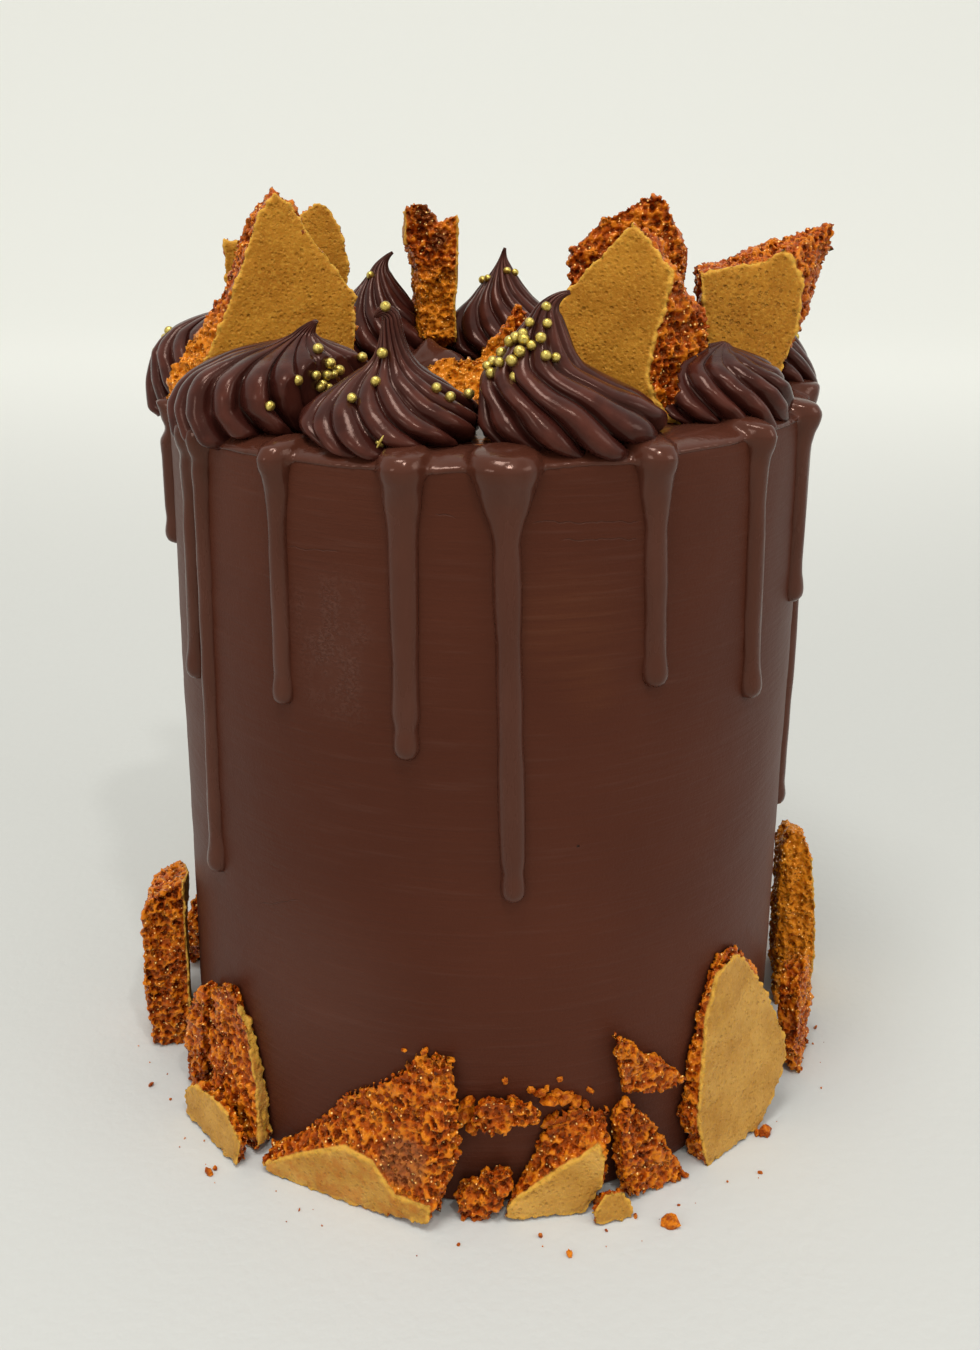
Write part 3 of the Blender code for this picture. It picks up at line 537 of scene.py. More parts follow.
# The swirls: soft ganache piped through an open star tip, one turn each, pulled up to a thin tail. Where
# they meet each other or a shard they are pressed flat.
SHAPES = {
    # share of the height, share of the radius
    "dome": ((0, 0.86), (0.1, 0.99), (0.3, 1.0), (0.5, 0.93), (0.65, 0.8), (0.78, 0.6), (0.86, 0.42),
             (0.93, 0.2), (1.0, 0.03)),
    "peaked": ((0, 0.86), (0.1, 0.99), (0.26, 1.0), (0.42, 0.97), (0.55, 0.87), (0.66, 0.68), (0.73, 0.47),
               (0.79, 0.26), (0.86, 0.12), (1.0, 0.02)),
    "drawn": ((0, 0.87), (0.1, 1.0), (0.19, 1.0), (0.32, 0.87), (0.41, 0.68), (0.49, 0.51), (0.59, 0.38),
              (0.69, 0.28), (0.79, 0.18), (0.9, 0.07), (1.0, 0.02)),
    "hooked": ((0, 0.86), (0.08, 0.99), (0.17, 1.0), (0.27, 0.84), (0.36, 0.66), (0.44, 0.5), (0.52, 0.3),
               (0.6, 0.2), (0.68, 0.15), (0.76, 0.12), (0.86, 0.1), (0.94, 0.065), (1.0, 0.02)),
    "kiss": ((0, 0.86), (0.08, 0.99), (0.18, 1.0), (0.3, 0.88), (0.42, 0.68), (0.53, 0.48), (0.66, 0.31),
             (0.8, 0.15), (0.9, 0.06), (1.0, 0.02)),
}
# place, radius, height, shape, ridges, turn of the ridges, how soon they turn, neck and tip off the middle,
# then where the tail starts to bend as a share, how wide it bends and towards which azimuth
SWIRLS = {
    "swirl_front_left": ((-51.5, -36.5), 22.3, 24.0, "peaked", 17, 58, 0.9, (0, 0), (11.5, -2), 0.86, 6, 60),
    "swirl_front": ((-21.5, -57.2), 19.9, 30.8, "hooked", 14, 112, 1.25, (1, 0), (0.6, 0), 0.845, 1.6, -90),
    "swirl_front_right": (
        (17.5, -59.3), 20.2, 33.0, "drawn", 11, 92, 1.25, (-7.4, 0), (-4.2, 0), 0.8, 5.0, 90
    ),
    "swirl_right_front": ((52.4, -36.6), 17.8, 16.4, "dome", 13, 70, 1.0, (0, 0), (2, 1), 0.9, 6, 60),
    "swirl_right": ((67.0, 4.0), 18.8, 27.5, "kiss", 13, 105, 1.25, (0, 1), (1, 2), 0.8, 8, 40),
    "swirl_back_right": ((43.0, 41.0), 19.0, 28.5, "kiss", 12, 108, 1.25, (-1, 0), (1, 2), 0.8, 7, 120),
    "swirl_back": ((4.0, 58.0), 19.0, 31.0, "kiss", 13, 105, 1.25, (0, 0), (0, 0), 0.86, 16, 60),
    "swirl_back_left": ((-33.5, 50.0), 19.2, 32.0, "kiss", 13, 105, 1.25, (1, 0), (2, 2), 0.78, 7, 90),
    "swirl_left": ((-70.0, 0.0), 17.8, 22.4, "dome", 14, 72, 1.0, (0, 0), (2, 1), 0.9, 6, -60),
}
STEPS = 46
FLUTE = 12  # points across one ridge
CREST_LEAN = 0.5  # of half a ridge
GROOVE = 0.77  # how far out the grooves lie, as a share of the radius
RIDGE = 0.265  # how far the ridges stand out of them
SAG_FROM = 77.0 * MM  # distance from the axis where a swirl starts to sag
SAG = 0.65  # how far a swirl sags beyond the rim, as a share of how far it reaches over it
PIPED = (0.033, 0.0080, 0.0056)
PIPED_WORN = (0.045, 0.0110, 0.0076)
# the crests of the ridges: the thin reddish edge of the ganache, with a painted highlight along it
PIPED_EDGE_AND_HIGHLIGHT = (0.115, 0.030, 0.018)



def surface_of(mesh):
    return BVHTree.FromPolygons([v.co for v in mesh.vertices], [p.vertices for p in mesh.polygons])


shards_inside = [surface_of(node.data) for name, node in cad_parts.items() if name.startswith("shard_")]


def pressed(spot, middle, name):
    """Draws a point level towards the swirl's middle, clear of the shards and of the next swirls."""
    keep = 1.0
    spoke = Vector((spot.x - middle.x, spot.y - middle.y, 0.0))
    reach = spoke.length
    if reach > 0.5 * MM:
        way = spoke / reach
        for slab in shards_inside:
            hit = slab.ray_cast(middle, way, reach + 0.4 * MM)[0]
            if hit:
                keep = min(keep, max(0.05, ((hit - middle).length - 0.35 * MM) / reach))
    here_xy = Vector((*SWIRLS[name][0], 0.0)) * MM
    for other, swirl in SWIRLS.items():
        there = Vector((*swirl[0], 0.0)) * MM
        if other != name and (there - here_xy).length < 45 * MM:
            away = (here_xy - there).normalized()
            start = (here_xy + there) / 2 + away * 0.1 * MM
            room = (Vector((middle.x, middle.y, 0.0)) - start).dot(away)
            left = room + spoke.dot(away)
            if left < 0.0:
                keep = min(keep, max(0.05, room / (room - left)))
    return Vector((middle.x + spoke.x * keep, middle.y + spoke.y * keep, spot.z))


def pipe(name, place, radius, tall, shape, ridges, turn, sooner, neck, tip, bend_from, bend_wide,
         bend_azimuth):
    """A star-shaped disc is extruded upwards, and moved, turned and resized at each step."""
    shares, widths = zip(*SHAPES[shape])
    even = np.linspace(0.0, 1.0, 201)
    smooth = np.convolve(np.pad(np.interp(even, shares, widths), 6, mode="edge"), np.ones(13) / 13, "valid")
    corners = ridges * FLUTE
    foot = top_height(place[0] * MM) / MM + 0.3
    bpy.ops.object.select_all(action="DESELECT")
    bpy.ops.mesh.primitive_circle_add(vertices=corners, radius=MM, fill_type="NGON")
    swirl = bpy.context.object
    draw = random.Random(ridges * 100 + turn)
    uneven = [(draw.uniform(-0.16, 0.16), draw.uniform(0.85, 1.1)) for _ in range(ridges)]
    for i, vertex in enumerate(swirl.data.vertices):
        u = (i % FLUTE) / FLUTE * 2.0 - 1.0
        lobe = math.sqrt(max(0.0, 1.0 - u * u))
        aside, proud = uneven[i // FLUTE]
        reach = GROOVE + RIDGE * lobe * proud
        turned = math.atan2(vertex.co.y, vertex.co.x) + (CREST_LEAN + aside) * lobe * math.pi / ridges
        vertex.co = Vector((math.cos(turned), math.sin(turned), 0.0)) * reach * MM
    bpy.ops.object.mode_set(mode="EDIT")
    bpy.ops.mesh.select_all(action="SELECT")
    x, y, z, wide, angle = 0.0, 0.0, 0.0, 1.0, 0.0
    middles = []
    for step in range(STEPS + 1):
        share = step / STEPS
        lean = min(1.0, max(0.0, (share - 0.18) / 0.35))
        lean = lean * lean * (3 - 2 * lean)
        tip_from = {"dome": 0.78, "peaked": 0.3}.get(shape, 0.5)
        rise = max(0.0, (share - tip_from) / (1 - tip_from))
        new_x = place[0] + neck[0] * lean * (1 - rise) + tip[0] * rise
        new_y = place[1] + neck[1] * lean * (1 - rise) + tip[1] * rise
        new_z = foot + share * tall
        new_wide = radius * float(np.interp(share, even, smooth))
        new_angle = math.radians(turn) * (1.0 - share) ** sooner
        move = ((new_x - x) * MM, (new_y - y) * MM, (new_z - z) * MM)
        if step == 0:
            bpy.ops.transform.translate(value=move)
        else:
            bpy.ops.mesh.extrude_region_move(TRANSFORM_OT_translate={"value": move})
        x, y, z = new_x, new_y, new_z
        middle = (x * MM, y * MM, z * MM)
        bpy.ops.transform.resize(value=(new_wide / wide, new_wide / wide, 1.0), center_override=middle)
        bpy.ops.transform.rotate(value=angle - new_angle, orient_axis="Z", center_override=middle)
        wide, angle = new_wide, new_angle
        middles.append(Vector(middle))
    bpy.ops.object.mode_set(mode="OBJECT")
    crest = swirl.data.attributes.new("crest", "FLOAT", "POINT")
    towards = outward(bend_azimuth)
    bend_z = (foot + bend_from * tall) * MM
    wide_arc = bend_wide * MM
    for i, vertex in enumerate(swirl.data.vertices):
        level_at = i // corners
        middle = middles[level_at]
        u = (i % FLUTE) / FLUTE * 2.0 - 1.0
        crest.data[i].value = math.sqrt(max(0.0, 1.0 - u * u))
        co = vertex.co
        spread = (co - middle).length
        wobble = noise.noise_vector(co * 110.0) * min(0.55 * MM, spread * 0.06)
        co = pressed(co + wobble, middle, name)
        over = max(0.0, math.hypot(co.x, co.y) - SAG_FROM)
        co.z -= over * SAG * max(0.0, 1.0 - 2.0 * level_at / STEPS)
        if co.z > bend_z:
            root = Vector((middle.x, middle.y, bend_z))
            up = co.z - bend_z
            side = (co - root).dot(towards)
            flat = co - root - towards * side
            flat.z = 0.0
            turn_by = up / wide_arc
            arm = wide_arc - side
            forward = wide_arc - arm * math.cos(turn_by)
            co = root + flat + towards * forward + Vector((0, 0, arm * math.sin(turn_by)))
        vertex.co = co
    start_editing(swirl)
    bpy.ops.mesh.select_all(action="SELECT")
    bpy.ops.mesh.normals_make_consistent(inside=False)
    stop_editing()
    bpy.ops.object.shade_smooth()
    return swirl


piped, shader, here = new_finish(
    "piped_ganache", Roughness=0.26, IOR=1.48, Specular_IOR_Level=0.29, Specular_Tint=GANACHE_SHEEN
)
ridge = here.node("Attribute", {"attribute_name": "crest"}, output="Fac")
soft = here.clouds(130.0, 3.0, 0.5)
tone = soft.between(0.35, 0.7).blend(PIPED, PIPED_WORN)
# paler, redder crests: the thin edge of the ganache and a painted highlight along it
(ridge.between(0.75, 1.0) * soft.between(0.35, 0.65) * 0.35).blend(tone, PIPED_EDGE_AND_HIGHLIGHT).to(shader, "Base Color")
(0.15 + soft * 0.14).to(shader, "Roughness")
(soft * 0.6 + here.clouds(700.0, 3.0) * 0.22).bump(shader, 0.0003)
swirls = {}
for name, row in SWIRLS.items():
    swirls[name] = pipe(name, *row)
    place_piece(swirls[name], name + "_piped", piped, [name])

# The pearls: small sugar balls with a gold lustre, dropped on the swirls while the ganache was soft, so
# each has sunk in a little.
PEARL_RADIUS = 1.2 * MM
GOLD = (0.48, 0.35, 0.06)
GOLD_PALE = (0.68, 0.53, 0.14)
SUNK = 0.55  # how far a pearl's middle stands out of the swirl, as a share of its radius
# the points of the picture where pearls show
PEARLS_SEEN = (
    (318, 351), (328, 363), (337, 370), (314, 375), (325, 375), (331, 374), (300, 380), (321, 384),
    (318, 387), (326, 387), (268, 406), (360, 357), (384, 354), (374, 383), (351, 400), (427, 354),
    (435, 390), (449, 399), (460, 389), (467, 396), (545, 324), (531, 324), (541, 339), (525, 335),
    (525, 341), (529, 346), (517, 339), (512, 343), (521, 353), (502, 354), (514, 362), (494, 363),
    (501, 364), (489, 368), (491, 375), (513, 379), (545, 357), (556, 358), (544, 305), (370, 276),
    (366, 274), (362, 278), (508, 271), (514, 273), (520, 277), (527, 282), (531, 287), (534, 290),
    (480, 284), (476, 286), (484, 281), (488, 279), (212, 302), (207, 311), (200, 312), (196, 315),
    (386, 309),
)
# swirl, azimuth, share of the height
PEARLS_BEHIND = (
    ("swirl_back", 170, 0.5), ("swirl_back", 185, 0.42), ("swirl_back", 205, 0.55),
    ("swirl_back", 150, 0.36), ("swirl_back_right", 120, 0.5), ("swirl_back_right", 145, 0.42),
    ("swirl_back_right", 90, 0.55), ("swirl_back_right", 165, 0.5), ("swirl_back_right", 135, 0.3),
    ("swirl_right", 80, 0.5), ("swirl_right", 100, 0.4), ("swirl_right", 125, 0.5),
    ("swirl_right", 95, 0.6), ("swirl_right_front", 80, 0.5), ("swirl_back_left", 200, 0.5),
    ("swirl_back_left", 220, 0.42), ("swirl_back_left", 185, 0.58), ("swirl_back_left", 240, 0.5),
    ("swirl_left", -95, 0.7), ("swirl_left", -110, 0.6), ("swirl_left", -85, 0.5),
)
# a fleck of gold leaf and the thin curl on it: point of the picture, size and turn
GOLD_FLECK = (
    (379, 445, (0.9, 0.5, 0.8), (0.3, 0.2, 0.0)),
    (381, 441, (0.26, 0.2, 1.3), (0.0, 0.5, 0.0)),
)
swirl_surfaces = {name: surface_of(swirl.data) for name, swirl in swirls.items()}


def seen_at(x, y):
    """The place on a swirl that a point of the picture shows, and the normal there, or two Nones."""
    hits = [surface.ray_cast(CAMERA_PLACE, sight(x, y)) for surface in swirl_surfaces.values()]
    hits = [hit for hit in hits if hit[0]]
    return min(hits, key=lambda hit: hit[3])[:2] if hits else (None, None)


def copy_of(piece):
    """A copy of a piece, with its own mesh."""
    copy = piece.copy()
    copy.data = piece.data.copy()
    bpy.context.scene.collection.objects.link(copy)
    return copy


rests = [seen_at(x, y) for x, y in PEARLS_SEEN]
for name, azimuth, share in PEARLS_BEHIND:
    (x, y), _, tall = SWIRLS[name][:3]
    middle = Vector((x * MM, y * MM, top_height(x * MM) + share * tall * MM))
    start = middle + outward(azimuth) * 40 * MM
    rests.append(swirl_surfaces[name].ray_cast(start, -outward(azimuth))[:2])
bpy.ops.object.select_all(action="DESELECT")
bpy.ops.mesh.primitive_ico_sphere_add(subdivisions=3, radius=PEARL_RADIUS)
ball = bpy.context.object
draw = random.Random(5)
start_editing(ball)
bpy.ops.mesh.select_all(action="SELECT")
bpy.ops.transform.vertex_random(offset=0.02 * MM, seed=3)
stop_editing()
bpy.ops.object.shade_smooth()
balls = []
for place, normal in rests:
    if not place:
        continue
    copy = copy_of(ball)
    copy.location = place + normal * PEARL_RADIUS * SUNK
    copy.rotation_euler = (draw.uniform(0, 6), draw.uniform(0, 6), 0)
    copy.scale = [draw.uniform(0.88, 1.08)] * 3
    balls.append(copy)
for x, y, spread, turned in GOLD_FLECK:
    place, normal = seen_at(x, y)
    flake = copy_of(ball)
    flake.location = place + normal * 0.3 * MM
    flake.scale = spread
    flake.rotation_euler = turned
    balls.append(flake)
bpy.data.objects.remove(ball)
pearls = join(balls)
settle(pearls)
gold, shader, here = new_finish("gold_lustre", Metallic=0.85, Roughness=0.36, IOR=1.5)
here.clouds(900.0, 3.0).between(0.3, 0.7).blend(GOLD, GOLD_PALE).to(shader, "Base Color")
(0.2 + here.clouds(1600.0, 2.0) * 0.2).to(shader, "Roughness")
here.clouds(2400.0, 2.0).bump(shader, 0.0001)
place_piece(pearls, "gold_pearls", gold, [])

# The honeycomb toffee: sugar boiled to amber, foamed with soda, set in a sheet and broken. A sheet has a
# dull pale skin full of pinholes, and its breaks show glassy cells.
# shard: azimuth that its face looks along, lean, sides that have the skin
SHARDS = {
    "shard_tall_left": (18, 8, "front"),
    "shard_behind_left": (10, 5, "front"),
    "shard_edge_on": (0, 2, "sides"),
    "shard_lying": (0, 40, ""),
    "shard_pointed": (10, 10, ""),
    "shard_tall_right": (-22, 10, "front"),
    "shard_behind_right": (-12, 8, "back"),
    "shard_far_right": (14, 8, "front"),
    "foot_block_left": (12, 0, "right"),
    "foot_slim_left": (-59, 3, ""),
    "foot_porous_left": (-44, 4, "right"),
    "foot_skin_left": (-48, 8, "front"),
    "foot_front_left": (-24, 5, "facet"),
    "foot_curl": (-1, 5, ""),
    "foot_front": (8, 7, "facet"),
    "foot_crumb_wall": (0, 0, ""),
    "foot_porous_front": (30, 6, ""),
    "foot_flakes": (20, 14, "front"),
    "foot_stuck_high": (28, 0, ""),
    "foot_skin_right": (40, 7, "front"),
    "foot_porous_right": (66, 3, ""),
    "foot_block_right": (-8, 0, "right"),
    "foot_back_1": (119, 6, ""),
    "foot_back_2": (143, 6, "front"),
    "foot_back_3": (166, 6, ""),
    "foot_back_4": (190, 6, "front"),
    "foot_back_5": (212, 6, ""),
    "foot_back_6": (236, 6, "front"),
    "foot_back_7": (258, 6, ""),
}
SKIN = (0.305, 0.114, 0.0075)
SKIN_PALE = (0.41, 0.174, 0.015)
SKIN_LOW = (0.405, 0.190, 0.030)
SKIN_LOW_PALE = (0.58, 0.318, 0.072)
# painted shade in the skin's pinholes and dimples
SKIN_HOLE_SHADE = (0.19, 0.066, 0.005)
# pale rim of the skin: the thin glassy edge with a painted highlight on it; also used for a random pale
# mottle
SKIN_RIM_AND_HIGHLIGHT = (0.70, 0.38, 0.055)
# the darkest amber: painted shade down in the pits, holes and cavities of the breaks
AMBER_PIT_SHADE = (0.085, 0.0095, 0.001)
AMBER = (0.24, 0.030, 0.0013)
AMBER_WARM = (0.41, 0.066, 0.002)
AMBER_PALE = (0.67, 0.19, 0.008)
AMBER_GOLD = (0.80, 0.275, 0.014)
AMBER_GLINT = (0.95, 0.62, 0.20)
BUBBLE_WALL = (0.27, 0.088, 0.030)
# spots of the breaks: point of the picture, depth from front to back, reach and width of the edge
GOLDEN_SPOTS = ((178, 385, -24.0, 10.0, 14.0), (445, 318, 37.0, 10.0, 7.0))
# painted shade of big cavities at the top of the edge-on shard
CAVITY_SHADE_SPOTS = (
    (437, 243, 37.0, 1.8, 1.4), (422, 232, 37.0, 1.2, 1.2), (441, 236, 37.0, 1.6, 1.2),
    (425, 213, 37.0, 2.2, 2.4),
)
SMOOTH_SPOTS = ((402, 1163, -85.0, 5.0, 2.0),)
TOFFEE_BODY = {
    "IOR": 1.5, "Specular_IOR_Level": 0.6, "Specular_Tint": (1.0, 0.5, 0.16, 1.0),
    "Subsurface_Weight": 0.2, "Subsurface_Scale": 0.0015, "Subsurface_Radius": (1.0, 0.4, 0.1),
}

SLIVER = 0.01  # a thinner face is left out, because its normal says nothing
SKIN_REACH = 1.6 * MM  # how far away the skin is looked for
SKIN_DEPTH = 0.25 * MM  # how far from the skin the break starts
BREAK_FADE = 0.9 * MM
RIM_WIDTH = 1.8 * MM


def new_texture(name, kind, scale):
    made = bpy.data.textures.new(name, kind)
    made.noise_scale = scale * MM
    return made


crags = new_texture("crags", "CLOUDS", 5.5)
crags.noise_depth = 2
bubbles = new_texture("bubbles", "VORONOI", 1.8)
fine_bubbles = new_texture("fine_bubbles", "VORONOI", 1.2)
chips = new_texture("chips", "CLOUDS", 2.0)
chips.noise_depth = 2
buckle = new_texture("buckle", "CLOUDS", 14.0)


def push(piece, texture, strength, middle, group=""):
    """Pushes a piece in and out by a texture, as far as the weights of a group let it."""
    add_modifier(
        piece, "DISPLACE", texture=texture, texture_coords="LOCAL", strength=strength * MM, mid_level=middle,
        vertex_group=group,
    )


def skin_faces(mesh, azimuth, lean, sides):
    """The faces of the slab that are its smooth skin, and those that are not."""
    side = outward(azimuth)
    tip = math.radians(lean)
    out = side * math.cos(tip) + Vector((0, 0, math.sin(tip)))
    along = Vector((-side.y, side.x, 0.0))
    tests = {
        "front": lambda n, off: n.dot(out) > 0.95,
        "facet": lambda n, off: n.dot(out) > 0.997,
        "back": lambda n, off: n.dot(out) < -0.9,
        "sides": lambda n, off: abs(n.dot(along)) > 0.86 and abs(off) > 5.5 * MM,
        "right": lambda n, off: n.dot(along) > 0.8 and off > 3.0 * MM,
        "": lambda n, off: False,
    }
    middle = sum((v.co for v in mesh.vertices), Vector()) / len(mesh.vertices)
    skin, bare = [], []
    for face in mesh.polygons:
        longest = max((mesh.vertices[a].co - mesh.vertices[b].co).length for a, b in face.edge_keys)
        folded = face.normal.dot(out) < -0.95 and (face.center - middle).dot(out) > MM
        if folded or face.area < SLIVER * longest**2:
            continue
        kept = skin if tests[sides](face.normal, (face.center - middle).dot(along)) else bare
        kept.append(tuple(face.vertices))
    return skin, bare


def weigh(piece, name, weights):
    """Gives a piece a vertex group of these weights."""
    group = piece.vertex_groups.new(name=name)
    steps = np.round(weights, 2)
    for weight in np.unique(steps):
        if weight > 0:
            group.add(np.nonzero(steps == weight)[0].tolist(), float(weight), "REPLACE")


def drop_specks(piece):
    """Deletes every loose bit of a piece but the largest."""
    surface = bmesh.new()
    surface.from_mesh(piece.data)
    unseen = set(surface.verts)
    bits = []
    while unseen:
        reached = [unseen.pop()]
        for vertex in reached:
            for edge in vertex.link_edges:
                other = edge.other_vert(vertex)
                if other in unseen:
                    unseen.remove(other)
                    reached.append(other)
        bits.append(reached)
    bits.sort(key=len)
    for bit in bits[:-1]:
        bmesh.ops.delete(surface, geom=bit, context="VERTS")
    surface.to_mesh(piece.data)
    surface.free()


def honeycomb(name, azimuth, lean, sides):
    """A copy of the slab is remeshed fine, then its breaks are pitted with bubbles and its skin is kept."""
    slab = copy_of(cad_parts[name])
    for key in list(slab.keys()):
        del slab[key]
    slab.parent = None
    start_editing(slab)
    bpy.ops.mesh.select_all(action="SELECT")
    bpy.ops.mesh.remove_doubles(threshold=0.01 * MM)
    stop_editing()
    rough = name.startswith("foot_back")
    cell = 0.6 if rough else 0.42
    skin, bare = skin_faces(slab.data, azimuth, lean, sides)
    corners = [v.co.copy() for v in slab.data.vertices]
    skin_tree = BVHTree.FromPolygons(corners, skin) if skin else None
    bare_tree = BVHTree.FromPolygons(corners, bare)
    add_modifier(slab, "REMESH", mode="VOXEL", voxel_size=cell * MM)
    drop_specks(slab)
    count = len(slab.data.vertices)
    broken = np.ones(count)
    edge = np.zeros(count)
    patchy = np.ones(count)
    for vertex in slab.data.vertices:
        if skin_tree:
            near = skin_tree.find_nearest(vertex.co, SKIN_REACH)
            if near[0]:
                broken[vertex.index] = min(1.0, max(0.0, (near[3] - SKIN_DEPTH) / BREAK_FADE))
            if broken[vertex.index] < 0.5:
                near = bare_tree.find_nearest(vertex.co, RIM_WIDTH)
                if near[0]:
                    edge[vertex.index] = 1.0 - near[3] / RIM_WIDTH
        if broken[vertex.index]:
            patch = noise.noise(vertex.co * 140.0) * 1.6 + 0.6
            patchy[vertex.index] = 0.4 + 0.6 * min(1.0, max(0.0, patch))
    weigh(slab, "broken", broken)
    weigh(slab, "bubbly", broken * patchy)
    weigh(slab, "edge", edge)
    normals = np.empty(count * 3)
    slab.data.vertices.foreach_get("normal", normals)
    push(slab, buckle, 0.7, 0.5)
    push(slab, crags, 2.0, 0.6, "broken")
    push(slab, chips, 2.0, 0.62, "edge")
    middle = np.empty(count * 3)
    slab.data.vertices.foreach_get("co", middle)
    push(slab, bubbles, 2.7, 0.6, "bubbly")
    push(slab, fine_bubbles, 1.0, 0.5, "broken")
    after = np.empty(count * 3)
    slab.data.vertices.foreach_get("co", after)
    depth = ((after - middle) * normals).reshape(-1, 3).sum(1) / MM
    for title, values in (("pit", depth), ("broken_share", broken), ("edge", edge)):
        kept = slab.data.attributes.new(title + "_amount", "FLOAT", "POINT")
        kept.data.foreach_set("value", values.astype(np.float32))
    for vertex in slab.data.vertices:
        vertex.co.z = max(0.0, vertex.co.z)
    bpy.ops.object.shade_smooth()
    return slab


toffee, shader, here = new_finish("honeycomb_toffee", Roughness=0.4, Emission_Strength=0.45, **TOFFEE_BODY)


def middle_of(name):
    """The middle of a node's box, in millimetres."""
    low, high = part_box(name)
    return (Vector(low) + Vector(high)) / 2 / MM


share, pit, rim = (
    here.node("Attribute", {"attribute_name": title + "_amount"}, output="Fac")
    for title in ("broken_share", "pit", "edge")
)
height = here.node("SeparateXYZ", {}, {0: here}, output="Z")
mottle = here.clouds(85.0, 4.0, 0.6)
grain = here.clouds(1300.0, 3.0, 0.65)
sponge = here.clouds(620.0, 3.0, 0.6)
upper = height.between(0.07, 0.17)
skin_tone = mottle.between(0.3, 0.7).blend(
    upper.blend(SKIN_LOW, SKIN), upper.blend(SKIN_LOW_PALE, SKIN_PALE)
)
coarse = here.near(middle_of("shard_far_right"), 15.0, 5.0)
skin_tone = (here.clouds(1100.0, 2.0).between(0.45, 0.75) * 0.3).blend(skin_tone, SKIN_RIM_AND_HIGHLIGHT)
pinholes = (1.0 - here.cells(900.0).between(0.14, 0.5)) * sponge.between(0.36, 0.6)
dots = (1.0 - here.cells(360.0).between(0.08, 0.22)) * here.clouds(90.0, 1.0).between(0.46, 0.6)
dots = dots + coarse * (1.0 - here.cells(480.0).between(0.16, 0.3)) * sponge.between(0.35, 0.5)
# the pinholes and dimples are only bumps; their darker colour is painted shade in them
skin_tone = (pinholes * (0.16 + upper * 0.06)).blend(skin_tone, SKIN_HOLE_SHADE)
skin_tone = (dots * 0.36).blend(skin_tone, SKIN_HOLE_SHADE)
stains = here.clouds(260.0, 3.0, 0.6).between(0.44, 0.62) * here.near(middle_of("foot_front_left"), 30.0, 8.0)
skin_tone = (stains * 0.36).blend(skin_tone, AMBER_WARM)
# a pale band along the skin's edges: the thin glassy rim and a painted highlight on it
skin_tone = (rim.between(0.35, 0.9) * 0.75).blend(skin_tone, SKIN_RIM_AND_HIGHLIGHT)
holes = (1.0 - here.cells(600.0).between(0.2, 0.44)) * here.clouds(200.0, 2.0).between(0.3, 0.5)
small_holes = (1.0 - here.cells(1050.0).between(0.14, 0.42)) * here.clouds(300.0, 2.0).between(0.4, 0.6)
# the breaks' colour by how deep each point lies in a pit, over random mottle: painted shade in the pits and
# painted light on the ridges between them
amber_tone = here.node(
    "ValToRGB", {"stops": ((0.0, AMBER_PIT_SHADE), (0.34, AMBER), (0.66, AMBER_WARM), (1.0, AMBER_PALE))},
    {"Fac": pit * 0.75 + 0.76 + (grain - 0.5) * 0.4 + (mottle - 0.5) * 0.9},
)


def facing(x, y, depth):
    """The point that a point of the picture shows at a depth from front to back, in millimetres."""
    way = sight(x, y)
    return (CAMERA_PLACE + way * ((depth * MM - CAMERA_PLACE.y) / way.y)) / MM


def spots(rows):
    """1 in spots of the toffee that the picture shows, and 0 away from them."""
    return sum(here.near(facing(x, y, depth), reach, edge) for x, y, depth, reach, edge in rows)


# paler golden amber, and painted light on the lit faces of shard_lying and foot_block_right
golden_and_lit = here.near(middle_of("foot_block_right"), 26.0, 10.0) + here.near(middle_of("shard_lying"), 15.0, 5.0)
golden_and_lit = golden_and_lit + spots(GOLDEN_SPOTS)
amber_tone = (golden_and_lit * 0.8).blend(amber_tone, AMBER_GOLD)
amber_tone = (upper * 0.22).blend(amber_tone, AMBER)
# painted shade of the big cavities
amber_tone = (spots(CAVITY_SHADE_SPOTS) * 0.75).blend(amber_tone, AMBER_PIT_SHADE)
amber_tone = (spots(SMOOTH_SPOTS) * 0.65).blend(amber_tone, BUBBLE_WALL)
# the bubble holes are only bumps; their dark colour is painted shade in them
amber_tone = (holes * (0.75 - golden_and_lit * 0.35)).blend(amber_tone, AMBER_PIT_SHADE)
amber_tone = (small_holes * 0.6).blend(amber_tone, AMBER_PIT_SHADE)
glints = (1.0 - here.cells(640.0).between(0.08, 0.2)) * here.clouds(500.0, 2.0).between(0.4, 0.55) * share
amber_tone = (glints * 0.8).blend(amber_tone, AMBER_GLINT)
glints.blend((0, 0, 0), AMBER_GLINT).to(shader, "Emission Color")
share.between(0.15, 0.7).blend(skin_tone, amber_tone).to(shader, "Base Color")
(0.55 - share * 0.49 + grain * 0.1 + pinholes * 0.1).to(shader, "Roughness")
foam = here.cells(1050.0) * 0.4 - holes * 0.8 - small_holes * 0.5 + grain * 0.1
dimples = grain * 0.3 + sponge * 0.5 + mottle * 0.5 - pinholes * 0.35 - dots * 0.5
(share * foam + (1.0 - share) * dimples).bump(shader, 0.0006)
for name, row in SHARDS.items():
    place_piece(honeycomb(name, *row), name + "_honeycomb", toffee, [name])

# Crumbs: splinters and dust of toffee that broke off the shards, lying round the foot and stuck to the
# wall where the pieces were pushed in.
# first and last azimuth, how many
CRUMB_RING = (
    (-62, -40, 7), (-38, -14, 5), (-10, 12, 5), (16, 34, 7), (36, 62, 4), (62, 100, 8), (100, 262, 26),
    (262, 300, 8),
)
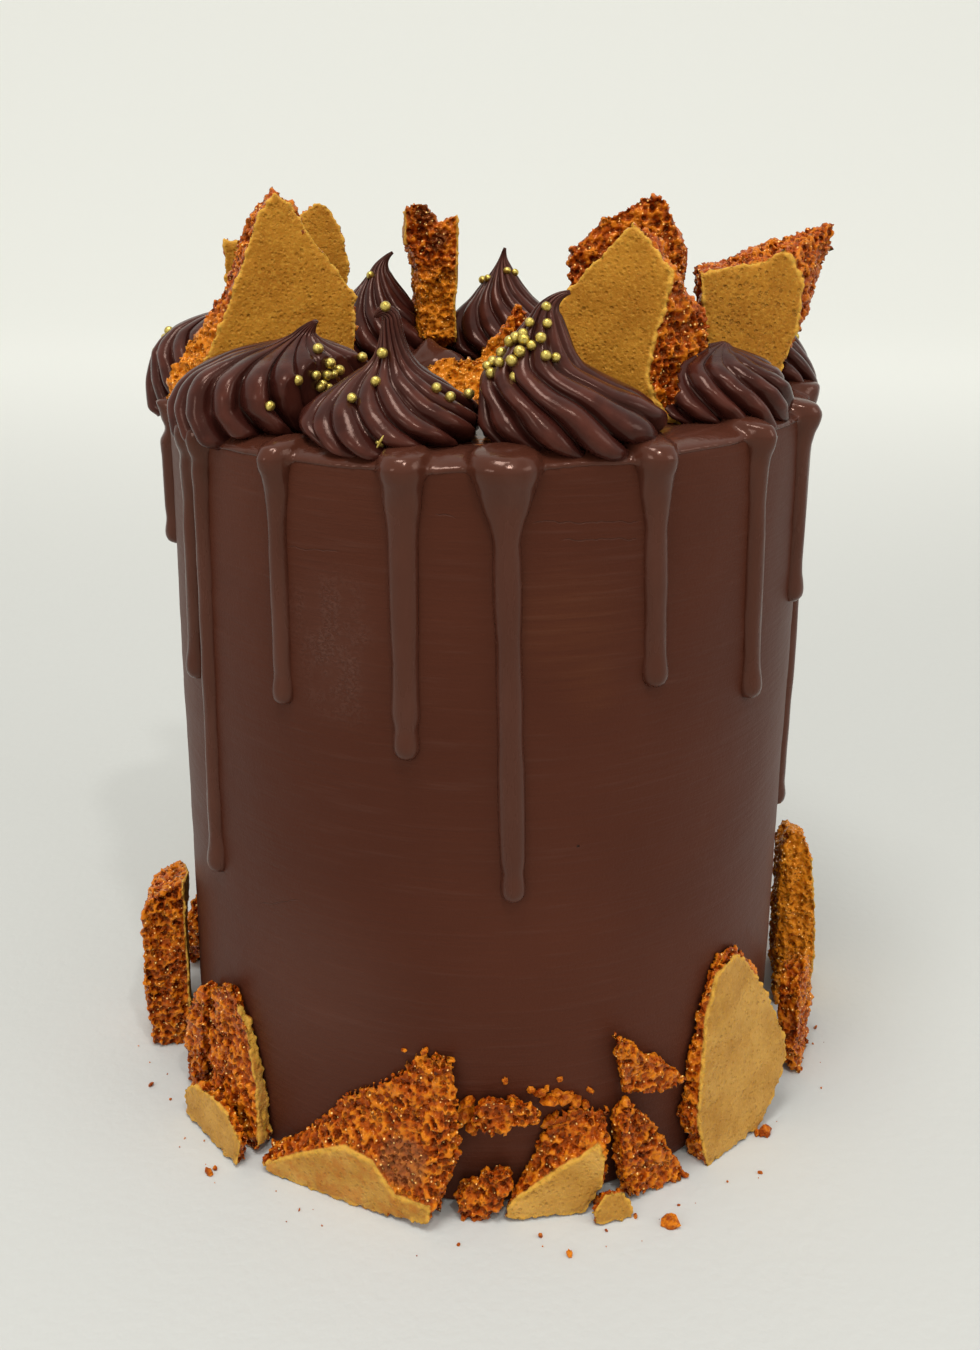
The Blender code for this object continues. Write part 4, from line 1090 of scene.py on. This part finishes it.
# point of the picture, size
CRUMBS_ON_FLOOR = (
    (670, 1222, 1.9), (765, 1131, 1.7), (757, 1133, 1.0), (209, 1172, 1.2), (215, 1168, 0.8),
    (599, 1203, 2.0), (612, 1199, 1.4), (604, 1196, 1.2), (470, 1178, 1.4), (478, 1213, 1.0),
)
CRUMBS_ON_WALL = (
    (505, 1081, 0.9), (531, 1090, 1.0), (540, 1093, 1.5), (547, 1088, 0.8), (557, 1094, 1.6),
    (566, 1098, 1.9), (549, 1100, 1.9), (575, 1101, 1.5), (468, 1102, 1.9), (466, 1112, 2.3),
    (470, 1123, 2.0), (474, 1131, 1.5), (585, 1104, 1.6), (512, 1099, 1.5), (494, 1107, 1.2),
    (650, 1078, 0.8), (668, 1070, 0.9), (404, 1050, 0.6), (560, 1079, 0.7), (590, 1090, 0.9),
)
bpy.ops.object.select_all(action="DESELECT")
bpy.ops.mesh.primitive_ico_sphere_add(subdivisions=2, radius=MM)
crumb = bpy.context.object
start_editing(crumb)
bpy.ops.mesh.select_all(action="SELECT")
bpy.ops.transform.vertex_random(offset=0.42 * MM, seed=8)
stop_editing()
draw = random.Random(11)
lying = []
for low, high, count in CRUMB_RING:
    for _ in range(count):
        size = 0.15 + 0.7 * draw.random() ** 3
        where = outward(draw.uniform(low, high)) * draw.uniform(92.0, 99.5) * MM
        lying.append((where.x, where.y, size * 0.5 * MM, size))
for x, y, size in CRUMBS_ON_FLOOR:
    way = sight(x, y)
    where = CAMERA_PLACE + way * (CAMERA_PLACE.z - size * 0.5 * MM) / -way.z
    lying.append((where.x, where.y, size * 0.5 * MM, size))
for x, y, size in CRUMBS_ON_WALL:
    where = wall_at(x, y, size * 0.4 * MM)
    lying.append((where.x, where.y, where.z, size))
crumbs = []
for x, y, z, size in lying:
    copy = copy_of(crumb)
    copy.location = (x, y, z)
    copy.rotation_euler = (draw.uniform(0, 6), draw.uniform(0, 6), draw.uniform(0, 6))
    spread = (draw.uniform(0.6, 1.2), draw.uniform(0.7, 1.3), draw.uniform(0.45, 0.9))
    copy.scale = [size * part for part in spread]
    crumbs.append(copy)
bpy.data.objects.remove(crumb)
crumbs = join(crumbs)
settle(crumbs)
for vertex in crumbs.data.vertices:
    vertex.co.z = max(vertex.co.z, 0.02 * MM)
splinters, shader, here = new_finish("toffee_crumbs", Roughness=0.3, **TOFFEE_BODY)
here.clouds(520.0, 3.0).between(0.35, 0.65).blend(AMBER, AMBER_PALE).to(shader, "Base Color")
(0.25 + here.clouds(900.0, 2.0) * 0.3).to(shader, "Roughness")
here.cells(1400.0).bump(shader, 0.0002)
place_piece(crumbs, "toffee_crumbs", splinters, [])
